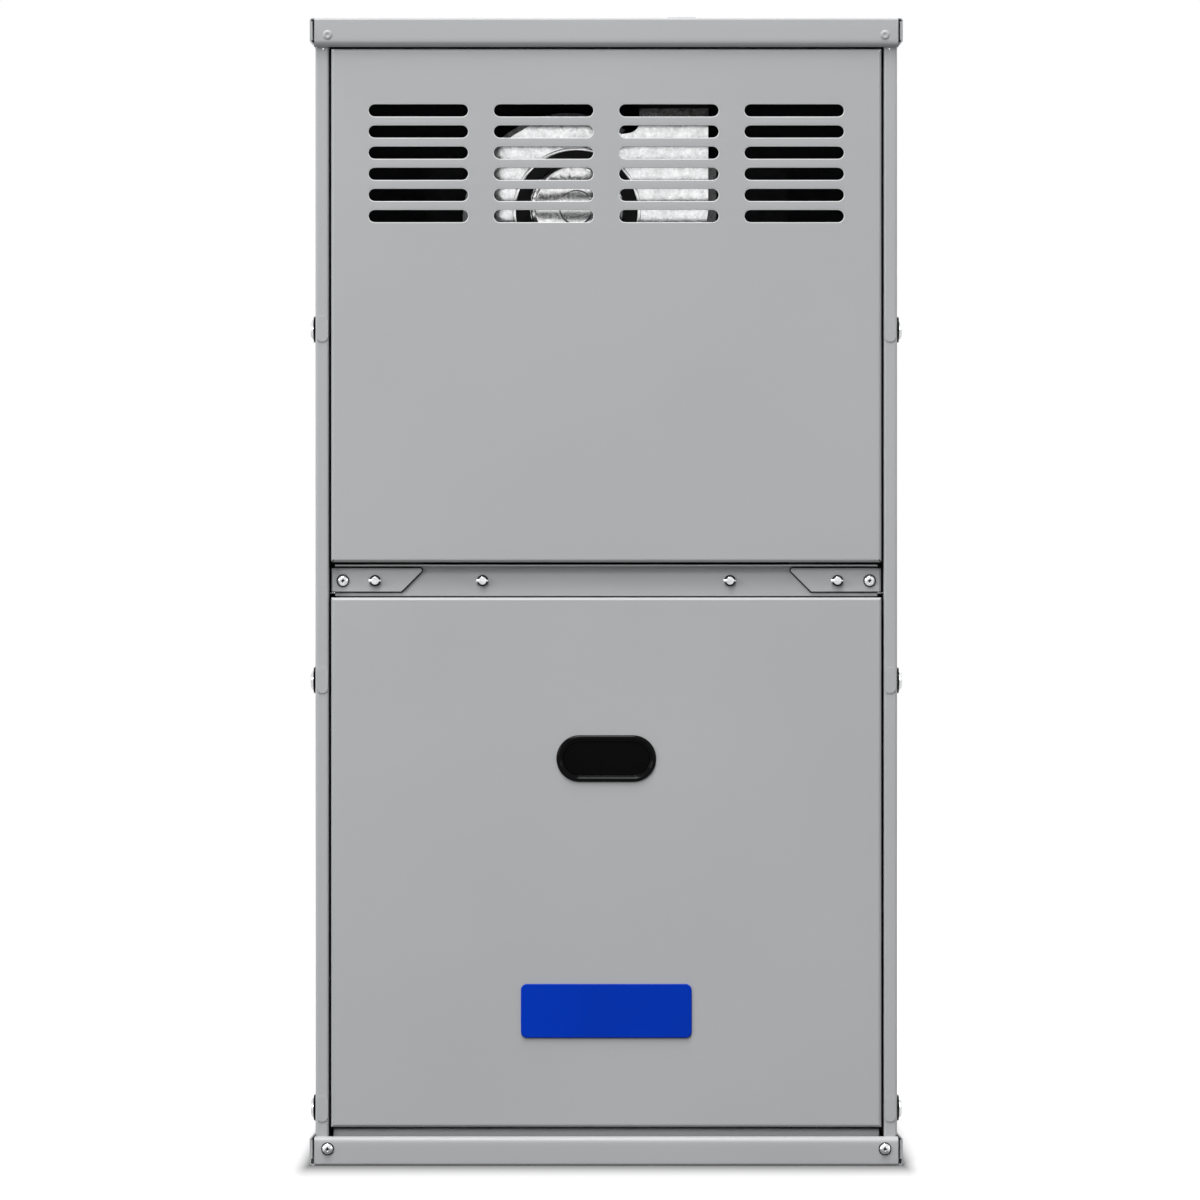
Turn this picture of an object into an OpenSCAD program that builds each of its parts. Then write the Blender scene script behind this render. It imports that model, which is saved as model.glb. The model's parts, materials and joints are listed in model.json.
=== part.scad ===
// Upflow forced air gas furnace, 80 percent efficiency class, with two pull-off doors.
// Millimetres. X runs across the front, Y into the depth, Z up. The front faces -Y.
// The origin is on the floor, at the centre of the footprint.

/* [Casing] */
// Width over the side panels
case_w = 444.5; // [430:0.5:540]
// Height from the floor to the top plate
case_h = 876.3; // [870:0.1:1060]
// Depth over the front and rear bands
case_d = 720; // [700:1:870]
// Thickness of the casing and door sheet
sheet = 1; // [0.8:0.1:1.2]
// Centre-line radius of a plain fold in the sheet
bend_r = 1.5; // [1.2:0.1:2]
// Width of the casing's front flange beside the doors
flange_w = 10.15; // [9:0.05:16]
// Depth of the channel that the casing folds into beside the doors
channel_d = 18; // [12:1:30]
// Width of the flanges that join the side panels to their neighbours
lap_w = 14; // [10:1:20]

/* [Top cap and base frame] */
// Height of the bands round the top cap and the base frame
band_h = 22; // [18:0.5:30]
// Distance from the casing front to the face of the front bands
band_front = 5; // [4.75:0.25:8]
// Distance from the casing sides and back to the outside of the ears and the rear bands
band_side = 4.25; // [3.75:0.25:7]
// Centre-line radius of the rolled edge of the front bands
band_roll_r = 4; // [2:0.5:4]
// Open gap between a front band and the ears beside it
corner_gap = 1.5; // [1:0.1:3]
// Depth of the ears that stand out at the front ends of the side bands
ear_d = 12; // [8:1:30]
// Height of the leaf folded back inside such an ear
hem_h = 14.5; // [10:0.5:15]
// Height of the edge of an ear that slants in to the casing
hem_slant = 4.2; // [3:0.1:5]
// Reach of the top cap's side bands below the top
cap_hem = 21.6; // [20:0.1:26]
// Reach of the base frame's side bands above the floor
base_hem = 24.2; // [20:0.1:26]
// Width of the floor and duct flanges round the openings
duct_flange = 16; // [12:1:30]
// Height of the low bead on the top plate in front of the vent
vent_bead_h = 0.6; // [0.4:0.1:1.2]
// Width of that bead
vent_bead_w = 22; // [12:1:40]

/* [Doors] */
// Gap between a door and the casing flange at each side
door_side_gap = 1.85; // [1:0.05:4]
// Gap between each door and the crossbar
door_gap = 1.9; // [1:0.1:4]
// Gap between the upper door and the top band
cap_gap = 1.3; // [1:0.1:4]
// Distance the door faces stand out from the casing flange
door_proud = 1; // [0.5:0.25:4]
// Depth of the returns folded round each door
door_return = 16; // [10:1:20]
// Outside radius of the door's folded edges
door_edge_r = 2.8; // [1.6:0.1:4]
// Height of the lower door
lower_door_h = 404.7; // [390:0.1:430]
// Height of the sill that shows between the base band and the lower door
sill_rise = 5.8; // [3:0.1:10]
// Gap between the sill and the lower door
sill_gap = 1.2; // [0.8:0.1:3]
// Running clearance under the feet that carry a door
foot_clear = 0.3; // [0.2:0.1:0.5]
// Thickness of the foam liner inside the lower door
liner_t = 6; // [4:1:9]

/* [Louvres] */
// Number of slots in one column
slot_rows = 6; // [3:1:8]
// Number of columns of slots
slot_cols = 4; // [2:1:4]
// Length of one slot
slot_w = 76; // [50:1:84]
// Height of one slot
slot_h = 9.4; // [6:0.2:11]
// Distance between rows
slot_pitch_z = 16.15; // [13:0.05:18]
// Distance between columns
slot_pitch_x = 95.7; // [88:0.1:98]
// Distance from the top of the door to the middle of the first row
slot_drop = 47.2; // [30:0.2:80]

/* [Sight glass and badge] */
// Length of the sight glass bezel
glass_w = 76.4; // [60:0.4:90]
// Height of the sight glass bezel
glass_h = 35.8; // [28:0.2:44]
// Width of the bezel's rim
glass_rim = 3.8; // [3:0.2:6]
// Depth of the lens behind the door face
glass_depth = 5; // [3:0.5:10]
// Height of the middle of the sight glass above the floor
glass_z = 310.7; // [280:0.1:360]
// Length of the badge plate
badge_w = 130.5; // [80:0.5:160]
// Height of the badge plate
badge_h = 41.2; // [20:0.2:60]
// Thickness of the badge plate
badge_t = 1.6; // [1:0.2:3]
// Corner radius of the badge plate
badge_r = 4.6; // [2:0.2:10]
// Height of the middle of the badge above the floor
badge_z = 117.9; // [80:0.1:160]

/* [Crossbar] */
// Height of the crossbar between the doors
bar_h = 23.2; // [18:0.2:30]
// Distance from the casing front back to the crossbar face
bar_set = 9; // [6:0.5:16]
// Reach of the ledge along the top of the crossbar
bar_ledge = 6; // [3:0.5:8]
// Gap between each end of the crossbar and the casing
bar_end_gap = 4.6; // [3:0.1:8]
// Length of an end bracket along its top edge
bracket_w = 71; // [50:1:110]
// Height of the crossbar left free above and below an end bracket
bracket_gap = 2.7; // [2.4:0.1:5]
// Thickness of an end bracket
bracket_t = 1.5; // [1:0.1:2]
// Thickness of the rubber gasket behind an end bracket
gasket_t = 0.8; // [0.6:0.1:2]
// Width of the gasket that shows round the bracket
gasket_rim = 1; // [0.6:0.1:1]
// Distance from the casing flange to the pan head screw
pan_inset = 10.6; // [8:0.2:16]
// Distance from the casing flange to the stud in the bracket
stud_inset = 35.2; // [26:0.2:50]
// Distance from the middle to the inner studs
stud_mid = 94.7; // [60:0.1:120]
// Distance from the middle of an end bracket down to its fasteners
screw_drop = 0.6; // [0:0.1:2]
// Height of the lips below the crossbar's lower flange
bar_lip = 0.8; // [0.4:0.1:1.2]

/* [Fasteners and plugs] */
// Radius of a pan head
pan_r = 4.2; // [3:0.1:6]
// Height of a pan head
pan_h = 2.2; // [1.5:0.1:3]
// Radius of a screw shank
shank_r = 2; // [1.5:0.1:2.5]
// Radius of a stud head on the crossbar
stud_r = 3.1; // [2.4:0.1:4]
// Height of a stud head above its washer
stud_h = 3; // [2:0.2:4]
// Radius of the dark washer under a stud head
washer_r = 4.4; // [3.8:0.1:6]
// Thickness of that washer
washer_t = 1.2; // [0.8:0.1:2]
// Reach of the cross pin from the middle of a stud head
stud_pin = 4.9; // [4:0.1:6]
// Radius of the thick end of that pin
wing_r = 1.3; // [0.8:0.1:1.4]
// Distance from the casing side to the base and cap fasteners
corner_inset = 9.5; // [6:0.5:14]
// Height of the screws in the base bands above the floor
base_screw_z = 12.9; // [9:0.1:14]
// Distance from the top down to the painted rivets in the top cap
rivet_drop = 13.2; // [9:0.1:14]
// Radius of those rivets
rivet_r = 3.8; // [2.4:0.1:5]
// Height of those rivet heads
rivet_h = 0.8; // [0.5:0.1:1.2]
// Radius of the hole that a side plug fills
plug_hole_r = 8.5; // [6:0.5:9]
// Radius of a side plug's flange
plug_r = 10.4; // [9.5:0.1:12]
// Radius of the domed middle of a side plug
plug_dome_r = 7.6; // [5:0.2:8]
// Distance a side plug stands out from the casing
plug_h = 4; // [3:0.25:4.25]
// Distance from the casing front back to the plugs
plug_set = 14; // [13:1:17]
// Heights of the side plugs above the floor
plug_z = [43, 370.4, 639];
// Width of the pressed pad beside each plug
pad_w = 8.6; // [5:0.2:9]
// Height of that pad
pad_h = 20; // [12:1:30]
// Distance the pad stands out
pad_t = 0.6; // [0.2:0.05:0.8]

/* [Blower deck and vest panel] */
// Thickness of the deck and vest panel
panel_t = 1.2; // [1:0.1:1.5]
// Depth of the burner compartment, from the front to the vest panel
vestibule_d = 210; // [205:1:240]
// Thickness of the casing insulation
wool_t = 10; // [6:1:14]

/* [Heat exchanger] */
// Distance between tubes
tube_pitch = 76; // [60:1:84]
// Outside radius of a tube
tube_r = 21; // [16:0.5:24]
// Wall of a tube
tube_wall = 1.2; // [1:0.1:2]
// Height of the burners above the deck
burner_rise = 64; // [58:0.1:72]
// Distance from the top plate down to the inducer's middle, which sets the passes
inducer_drop = 141.3; // [130:0.1:160]
// Distance from the rear band to the middle of the rear return bends
bend_rear = 110; // [80:1:160]
// Distance from the vest panel to the middle of the front return bends
bend_front = 72; // [68:1:120]
// Distance from the rear bends forward to the tube support
support_set = 60; // [20:1:120]
// Clearance of a tube in the tube support
tube_clear = 0.3; // [0.2:0.1:1]
// Depth of the flue collector box
collector_d = 40; // [30:1:50]
// Height of the flue collector box
collector_h = 74; // [60:1:90]

/* [Burners and gas train] */
// Length of a burner
burner_l = 118; // [100:1:124]
// Radius of a burner's flared outlet
burner_out_r = 17; // [14:0.5:19]
// Radius of a burner's inlet bell
burner_bell_r = 15; // [12:0.5:18]
// Radius of a burner's throat
burner_throat_r = 9; // [7:0.5:11]
// Wall of a burner
burner_wall = 0.8; // [0.6:0.1:1.2]
// Distance from the burner's bell to the manifold axis
manifold_gap = 26; // [22:1:32]
// Radius of the manifold pipe
manifold_r = 11; // [9:0.5:13]
// Width of the gas valve
valve_w = 88; // [70:1:96]
// Depth of the gas valve
valve_d = 56; // [44:1:58]
// Height of the gas valve
valve_h = 62; // [50:1:70]
// Place of the gas valve's middle across the width
valve_x = 66; // [50:1:80]
// Radius of the valve's threaded gas inlet
gas_r = 9.2; // [8:0.1:12]
// Depth of that inlet
gas_l = 16; // [12:1:20]
// Radius of the hole in the casing for the gas pipe
gas_hole_r = 22; // [18:0.5:24]
// Radius of the knock-outs for the electrical cables
cable_hole_r = 11; // [8:0.5:14]
// Radius of the valve's on and off knob
knob_r = 13; // [9:0.5:16]
// Height of that knob
knob_h = 11; // [8:0.5:14]
// Running clearance of a spindle or plunger in its guide
run_clear = 0.05; // [0.02:0.01:0.1]

/* [Draft inducer and vent] */
// Place of the inducer's middle across the width
inducer_x = -23; // [-40:1:0]
// Depth of the inducer scroll
inducer_d = 45; // [36:1:50]
// Scroll radius where the spiral starts, at the cut-off
inducer_r0 = 70; // [62:0.5:72]
// Scroll radius where the spiral meets the outlet
inducer_r1 = 103; // [98:0.5:108]
// Angle of the cut-off, from the outlet side
inducer_cut = 60; // [50:1:70]
// Radius of the scroll's inner corner at its outlet
neck_r = 9; // [2:0.5:9]
// Width of the inducer outlet
inducer_out_w = 54; // [50:0.5:64]
// Distance from the inducer's middle up to the end of its outlet
inducer_out_h = 73.5; // [73:0.5:80]
// Width of the dark flange round the scroll
inducer_rim = 7; // [4:0.5:10]
// Radius of the motor opening in the scroll face
inducer_eye_r = 47.5; // [44:0.5:52]
// Radius of the inducer motor
inducer_motor_r = 36; // [30:0.5:38]
// Length of the inducer motor in front of the scroll
inducer_motor_l = 52; // [40:1:64]
// Radius of the inducer wheel
inducer_wheel_r = 58; // [50:0.5:60]
// Radius of the 4 inch vent socket
vent_r = 50.8; // [40:0.2:56]
// Distance from the front band to the middle of the vent
vent_set = 110; // [100:1:130]
// Distance the vent socket stands above the top plate
vent_rise = 4; // [2:0.5:10]
// Depth of the vent socket
vent_l = 34; // [24:1:40]

/* [Blower] */
// Radius of the blower wheel
wheel_r = 127; // [110:1:130]
// Width of the blower wheel
wheel_w = 203; // [160:1:210]
// Number of blades
blade_n = 36; // [24:1:44]
// Radial depth of the blades
blade_d = 21; // [16:1:26]
// Thickness of a blade
blade_t = 1.2; // [1:0.1:1.6]
// Gap between the wheel and each side of its housing
wheel_gap = 13.5; // [10:0.5:18]
// Scroll radius at the cut-off
scroll_r0 = 141; // [140:1:146]
// Scroll radius at the outlet
scroll_r1 = 195; // [185:1:200]
// Angle of the cut-off, from the outlet side
scroll_cut = 118; // [110:1:124]
// Distance from the deck down to the wheel axis
wheel_drop = 221; // [215:1:230]
// Distance from the rear band to the wheel axis
wheel_set = 250; // [240:1:290]
// Radius of the housing's inlet rings
inlet_r = 108; // [100:1:112]
// Radius of the blower motor
motor_r = 70; // [60:1:76]
// Length of the blower motor
motor_l = 105; // [80:1:110]
// Radius of the motor shaft
shaft_r = 6.35; // [5:0.05:8]

/* [Controls] */
// Width of the control board
board_w = 160; // [120:1:180]
// Height of the control board
board_h = 110; // [90:1:120]
// Distance from the front band to the control bracket
bracket_set = 250; // [200:1:260]
// Travel of the door switch plunger
plunger_travel = 6; // [4:0.5:8]
// Place of the door switch across the width
switch_x = 150; // [120:1:170]

/* [Hidden] */
$fn = 48;
fold_steps = 4;      // flats along one fold
end_steps = 10;      // flats round one slot end
spiral_steps = 30;   // flats along one scroll
paint = [0.69, 0.7, 0.71];
zinc = [0.78, 0.79, 0.8];
soot = [0.16, 0.16, 0.17];
black = [0.08, 0.08, 0.08];

// Planes of the casing
front_y = -case_d / 2;
rear_y = case_d / 2;
case_front = front_y + band_front;
case_rear = rear_y - band_side;
half_w = case_w / 2;
in_x = half_w - sheet;                  // inside face of a side panel
band_x = half_w + band_side;            // outside face of an ear
plate_z = case_h - sheet;               // underside of the top plate
door_y = case_front - door_proud;
door_x = half_w - flange_w - door_side_gap;
channel_x = half_w - flange_w;          // inner face of the channel beside the doors

// Heights of the doors, crossbar and deck
sill_z = band_h + sill_rise;
lower_z = sill_z + sill_gap;
bar_z = lower_z + lower_door_h + door_gap;
ledge_z = bar_z + bar_h;
upper_z = ledge_z + door_gap;
pin_x = half_w - 6;                     // small pins in the flanges under the top band
pin_z = case_h - band_h - 1.4;
pin_r = 0.8;
upper_h = case_h - band_h - cap_gap - upper_z;
deck_low = bar_z + sheet;               // the blower deck rests on the crossbar's lower flange
deck_z = deck_low + panel_t;
bar_y = case_front + bar_set;           // front face of the crossbar
bracket_y = bar_y - gasket_t - bracket_t;   // front face of an end bracket
bracket_z = bar_z + bracket_gap;
bracket_h = bar_h - 2 * bracket_gap;
screw_z = bracket_z + bracket_h / 2 - screw_drop;

// Heat exchanger and gas train
tube_n = 4;                             // tubes and burners
vest_y = front_y + vestibule_d;         // front face of the vest panel
vest_back = vest_y + panel_t;
burner_z = deck_z + burner_rise;
pass_pitch = 2 * round((case_h - inducer_drop - burner_z) / 6);
inducer_z = burner_z + 3 * pass_pitch;
rear_bend_y = rear_y - bend_rear;
front_bend_y = vest_y + bend_front;
tube_x = [for (i = [0:tube_n - 1]) (i - (tube_n - 1) / 2) * tube_pitch];
wool_z = [deck_z, plate_z - sheet];
bell_y = vest_y - 4 - burner_l;
manifold_y = bell_y - manifold_gap;
spud_l = manifold_gap - manifold_r;
rack_y = bell_y + 24;                   // front plate of the burner rack
rack_z = burner_z - burner_out_r - 9;
valve_z = burner_z + 36;
valve_y = manifold_y - valve_d / 2;
gas_z = valve_z + valve_h / 2;

// Inducer
scroll_back = vest_y - collector_d - panel_t;
scroll_front = scroll_back - inducer_d;
inducer_mid = [inducer_x, inducer_z];
out_x1 = inducer_x + inducer_r1;
out_x0 = out_x1 - inducer_out_w;
out_z = inducer_z + inducer_out_h;
collar_t = 8;
vent_x = 55;
vent_y = front_y + vent_set;
vent_low = case_h + vent_rise - vent_l;
inducer_bore = 3.05;
inducer_shaft_r = inducer_bore - run_clear;

// Blower
wheel_y = rear_y - wheel_set;
wheel_z = deck_low - wheel_drop;
side_x = wheel_w / 2 + wheel_gap;
cut_y = wheel_y + scroll_r0 * cos(scroll_cut);
out_y = wheel_y + scroll_r1;
motor_x = -side_x - 30;                 // outer end of the blower motor
hub_x = 10;                             // middle of the wheel's centre plate
board_y = front_y + bracket_set;
switch_z = deck_low - 34;
board_z = glass_z - 40;

// Gas train fittings
spud_boss = 1.5;                        // height of the manifold bosses under the orifices
rack_x = tube_x[tube_n - 1] + burner_out_r + 7;
knob_x = valve_x - 18;
knob_z = valve_z + 21;
spindle_r = 4;

// Switches on the vest panel
stat_d = 14;                            // depth of a disc thermostat
limit_z = burner_z + 2 * pass_pitch - 46;
rollout_x = -tube_pitch;
rollout_z = burner_z + 48;
button_r = 2.5;
press_x = -164;
press_z = inducer_z - 95;
press_port = 36;                        // reach of the pressure switch's nipple

// Controls
board_x0 = -56;
board_gap = 10;
switch_y = front_y + 26;
plunger_r = 3;
seat_t = 0.6;                           // thickness of the washers under the pan heads

// ---------- Helpers ----------

function unit(v) = v / norm(v);
function left_of(u) = [-u[1], u[0]];
function flip(v) = [for (i = [len(v) - 1:-1:0]) v[i]];
function arc(c, r, a0, a1, n) =
    [for (i = [0:n]) let (a = a0 + (a1 - a0) * i / n) c + r * [cos(a), sin(a)]];

// Points of one side of a fold at corner b, offset by off to the left of the centre line
function corner(a, b, d, r, off) =
    let (u = unit(b - a), v = unit(d - b), s = sign(u[0] * v[1] - u[1] * v[0]))
    let (ang = acos(u * v), start = b - u * r * tan(ang / 2))
    let (c = start + s * r * left_of(u), a0 = atan2(start[1] - c[1], start[0] - c[0]))
    arc(c, r - s * off, a0, a0 + s * ang, fold_steps);

function one_side(p, r, off) =
    let (n = len(p) - 1)
    concat([p[0] + off * left_of(unit(p[1] - p[0]))],
           [for (i = [1:1:n - 1]) each corner(p[i - 1], p[i], p[i + 1], is_list(r) ? r[i - 1] : r, off)],
           [p[n] + off * left_of(unit(p[n] - p[n - 1]))]);

// Outline of a sheet of thickness t folded along the centre line p
module fold(p, t, r) {
    polygon(concat(one_side(p, r, t / 2), flip(one_side(p, r, -t / 2))));
}

module along_x(x0, x1) { translate([x0, 0, 0]) rotate([90, 0, 90]) linear_extrude(x1 - x0) children(); }
module along_y(y0, y1) { translate([0, y1, 0]) rotate([90, 0, 0]) linear_extrude(y1 - y0) children(); }
module along_z(z0, z1) { translate([0, 0, z0]) linear_extrude(z1 - z0) children(); }
module box(lo, hi) { translate(lo) cube(hi - lo); }
module rod_x(p, r, l) { translate(p) rotate([0, 90, 0]) cylinder(h = l, r = r); }
module rod_y(p, r, l) { translate(p) rotate([-90, 0, 0]) cylinder(h = l, r = r); }
module rod_z(p, r, l) { translate(p) cylinder(h = l, r = r); }
// Revolves a profile of [radius, distance] about a line along X or Y
module spin_x(p) { translate(p) rotate([0, 90, 0]) rotate_extrude() children(); }
module spin_y(p) { translate(p) rotate([-90, 0, 0]) rotate_extrude() children(); }
module both_sides() { for (s = [0, 1]) mirror([s, 0, 0]) children(); }

// Slot with round ends, w by h over all
module stadium(w, h) {
    e = w / 2 - h / 2;
    polygon(concat(arc([e, 0], h / 2, -90, 90, end_steps), arc([-e, 0], h / 2, 90, 270, end_steps)));
}

module round_rect(w, h, r) {
    polygon([for (q = [0:3]) each
        arc([(w / 2 - r) * (q == 0 || q == 3 ? 1 : -1), (h / 2 - r) * (q < 2 ? 1 : -1)],
            r, 90 * q, 90 * q + 90, fold_steps + 2)]);
}

// Front outline of a pan: a box of width w and depth d with both front corners rounded
module pan_outline(w, d, r) {
    polygon(concat([[-w / 2, d]], arc([r - w / 2, r], r, 180, 270, fold_steps),
                   arc([w / 2 - r, r], r, 270, 360, fold_steps), [[w / 2, d]]));
}

// Solid with rounded front edges on all four sides, its face at y = 0
module pan_solid(w, h, d, r) {
    intersection() {
        along_z(0, h) pan_outline(w, d, r);
        along_x(-w / 2, w / 2) translate([0, h / 2]) rotate(90) mirror([0, 1]) pan_outline(h, d, r);
    }
}

// Folded door panel, open at the back
module door_pan(z, h) {
    translate([0, door_y, z]) difference() {
        pan_solid(2 * door_x, h, door_return, door_edge_r);
        translate([0, sheet, sheet])
            pan_solid(2 * (door_x - sheet), h - 2 * sheet, door_return, door_edge_r - sheet);
    }
}

// Pressed feet under a door's bottom return, which carry it on the ledge below
module door_feet(z, gap) {
    foot_h = gap - foot_clear;
    both_sides()
        box([door_x - 70, door_y + 6, z - foot_h], [door_x - 50, door_y + door_return, z + sheet / 2]);
}

// Screw with a domed pan head on the plane y = 0, pointing into +Y
module pan_screw(l) {
    difference() {
        rotate([-90, 0, 0]) rotate_extrude() polygon(concat(
            [[0, -pan_h]],
            [for (a = [75:-15:0]) [pan_r * cos(a), -pan_h * sin(a)]],
            [[shank_r, 0], [shank_r, l - 1.5], [0.4, l], [0, l]]));
        // Cross recess
        for (a = [0, 90]) rotate([0, a, 0]) box([-2, -pan_h - 1, -0.65], [2, -pan_h + 1.2, 0.65]);
    }
}

// Spiral outline in the plane of a scroll, from the cut-off round to the outlet side
function spiral(r0, r1, cut, inset) =
    [for (i = [0:spiral_steps]) let (a = cut + (360 - cut) * i / spiral_steps)
        (r0 + (r1 - r0) * i / spiral_steps - inset) * [cos(a), sin(a)]];

// Tube of radius r along the points p: rings of n corners, joined by triangles
module sweep(p, r, n) {
    last = len(p) - 1;
    dirs = [for (i = [0:last]) unit(p[min(i + 1, last)] - p[max(i - 1, 0)])];
    rings = [for (i = [0:last])
        let (d = dirs[i], side = unit(cross(d, abs(d[2]) > 0.9 ? [0, 1, 0] : [0, 0, 1])), up = cross(side, d))
        for (k = [0:n - 1]) let (a = 360 * k / n) p[i] + r * (cos(a) * side + sin(a) * up)];
    quads = [for (i = [0:last - 1], k = [0:n - 1])
        let (a = i * n + k, b = i * n + (k + 1) % n) each [[a, b, b + n], [a, b + n, a + n]]];
    caps = [[for (k = [n - 1:-1:0]) k], [for (k = [0:n - 1]) last * n + k]];
    polyhedron(points = rings, faces = concat(quads, caps));
}

// Smooth curve through the points p, with m points to a stretch
function smooth(p, m) =
    let (n = len(p) - 1)
    concat([for (i = [0:n - 1], j = [0:m - 1])
        let (t = j / m, a = p[max(i - 1, 0)], b = p[i], c = p[i + 1], d = p[min(i + 2, n)])
        0.5 * (2 * b + (c - a) * t + (2 * a - 5 * b + 4 * c - d) * t * t
               + (3 * b - a - 3 * c + d) * t * t * t)], [p[n]]);

// ---------- Casing ----------

// Holes and pads of one side panel are drawn on the left and mirrored for the right
module side_panel() {
    mid = half_w - sheet / 2;
    difference() {
        union() {
            along_z(sheet, plate_z) fold([
                [-channel_x - sheet / 2, case_front + channel_d],
                [-channel_x - sheet / 2, case_front + sheet / 2],
                [-mid, case_front + sheet / 2],
                [-mid, case_rear - sheet / 2],
                [-half_w + lap_w, case_rear - sheet / 2]], sheet, bend_r);
            for (z = [sheet, plate_z - sheet])
                box([-half_w + sheet / 2, case_front + channel_d + 1, z],
                    [-half_w + lap_w, case_rear - 2 * sheet, z + sheet]);
            for (z = plug_z) translate([-half_w + flange_w / 2 + 0.2, 0, z])
                along_y(case_front - pad_t, case_front + sheet / 2) rotate(90) stadium(pad_h, pad_w);
        }
        for (z = plug_z) rod_x([-half_w - 1, case_front + plug_set, z], plug_hole_r, sheet + 2);
        rod_y([-pin_x, case_front - 1, pin_z], pin_r + 0.1, sheet + 2);
        // Knock-outs for the mains and thermostat cables
        for (z = [board_z + board_h, ledge_z + 40]) knockout(board_y - 50, z, cable_hole_r);
        knockout(board_y - 50, board_z + board_h - 40, 0.7 * cable_hole_r);
    }
}

// Groove that marks a round knock-out in the left side panel
module knockout(y, z, r) {
    difference() {
        rod_x([-half_w - 1, y, z], r, 1 + sheet / 2);
        rod_x([-half_w - 2, y, z], r - 0.8, 3 + sheet);
    }
}

module left_side_panel() {
    color(paint) difference() {
        side_panel();
        rod_x([-half_w - 1, manifold_y, gas_z], gas_hole_r, sheet + 2);
    }
}

module right_side_panel() {
    color(paint) mirror([1, 0, 0]) difference() {
        side_panel();
        // Gas pipe's place when the furnace is piped from the right
        knockout(manifold_y, gas_z, gas_hole_r);
    }
}

module back_panel() {
    y = case_rear - sheet;
    rib_h = 3;
    color(paint) union() {
        box([-in_x + bend_r, y - sheet, sheet], [in_x - bend_r, y, plate_z]);
        for (z = [sheet, plate_z - sheet])
            box([-in_x + lap_w, y - lap_w, z], [in_x - lap_w, y - sheet / 2, z + sheet]);
        // Pressed stiffening beads
        for (z = [0.3, 0.7]) translate([0, 0, case_h * z])
            along_x(-in_x + 60, in_x - 60) fold([[y - sheet / 2, -16], [y - sheet / 2, -12],
                [y - sheet / 2 - rib_h, -6], [y - sheet / 2 - rib_h, 6], [y - sheet / 2, 12],
                [y - sheet / 2, 16]], sheet, 2);
    }
}

// Left ear of a band, hanging down to -h from a plate whose top is at z = 0
module ear_outline(h) {
    x = -band_x + sheet / 2;
    turn = hem_slant - h;
    fold([[-half_w + duct_flange, -sheet / 2], [x, -sheet / 2], [x, turn],
          [-half_w - 0.6 * sheet, sheet / 2 - h]], sheet, [bend_r, 1]);
    // Leaf folded back against the inside
    translate([x, turn + 0.4]) square([1.6 * sheet, hem_h]);
}

// Side band on the left: an ear at the front, then a flange close to the casing
module side_band(h) {
    y0 = front_y + bend_r + sheet;
    y1 = front_y + ear_d;
    x0 = -band_x + sheet / 2;
    x1 = -half_w - 0.1;
    x = x1 - sheet / 2;
    low = sheet / 2 - h;
    along_y(y0, y1) ear_outline(h);
    // Web that closes the ear at its back
    along_y(y1 - sheet, y1) polygon([[x0, -sheet / 2], [x0, hem_slant - h], [-half_w - 0.6 * sheet, low],
                                     [x1, low], [x1, -sheet / 2]]);
    along_y(y1 - sheet, rear_y - bend_r - sheet)
        fold([[-half_w + duct_flange, -sheet / 2], [x, -sheet / 2], [x, low]], sheet, 0.55 * sheet);
}

// Plate, rolled front band, rear band and side bands, hanging from z = 0
module band_frame(hem) {
    front_x = band_x - 2.1 * sheet - corner_gap;
    y = front_y + sheet / 2;
    low = -band_h + sheet / 2;
    along_x(-front_x, front_x) fold([[front_y + duct_flange + 10, -sheet / 2], [y, -sheet / 2], [y, low],
                                     [case_front, low]], sheet, [bend_r, band_roll_r]);
    along_x(-front_x, front_x) fold([[rear_y - duct_flange, -sheet / 2], [rear_y - sheet / 2, -sheet / 2],
                                     [rear_y - sheet / 2, low]], sheet, bend_r);
    both_sides() side_band(hem);
}

// Cuts for the fasteners at both ends of the front and rear bands
module band_holes(z, r) {
    for (x = [-1, 1] * (half_w - corner_inset)) rod_y([x, front_y - 1, z], r, case_d + 2);
}

module top_cap() {
    open_y = vest_back + wool_t;
    x = half_w - duct_flange + 2;
    color(paint) difference() {
        union() {
            translate([0, 0, case_h]) band_frame(cap_hem);
            box([-x, front_y + 8, plate_z], [x, open_y, case_h]);
            box([-x, rear_y - duct_flange - band_side, plate_z], [x, rear_y - 8, case_h]);
            // Low bead in front of the vent
            translate([vent_x + 2.5, 0, case_h - sheet / 2]) along_y(front_y + 4, vent_y - vent_r - 4)
                polygon([[-vent_bead_w / 2, 0], [-vent_bead_w / 2, sheet / 2 + vent_bead_h / 2],
                         [-vent_bead_w / 2 + 1, sheet / 2 + vent_bead_h],
                         [vent_bead_w / 2 - 1, sheet / 2 + vent_bead_h],
                         [vent_bead_w / 2, sheet / 2 + vent_bead_h / 2], [vent_bead_w / 2, 0]]);
        }
        rod_z([vent_x, vent_y, plate_z - 1], vent_r + 2 * sheet + 0.2, sheet + 3);
        band_holes(case_h - rivet_drop, shank_r + 0.1);
    }
}

module base_frame() {
    x = half_w - duct_flange + 2;
    color(paint) difference() {
        union() {
            mirror([0, 0, 1]) band_frame(base_hem);
            box([-x, front_y + 8, 0], [x, front_y + 46, sheet]);
            box([-x, rear_y - 46, 0], [x, rear_y - 8, sheet]);
        }
        band_holes(base_screw_z, shank_r + 0.1);
    }
}

module door_sill() {
    y = case_front + 5;
    x = door_x - 1.7;
    color(paint) along_x(-x, x) fold([[y + 8, sheet * 1.5], [y, sheet * 1.5], [y, sill_z - sheet / 2],
                                      [y + 14, sill_z - sheet / 2]], sheet, bend_r);
}

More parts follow.
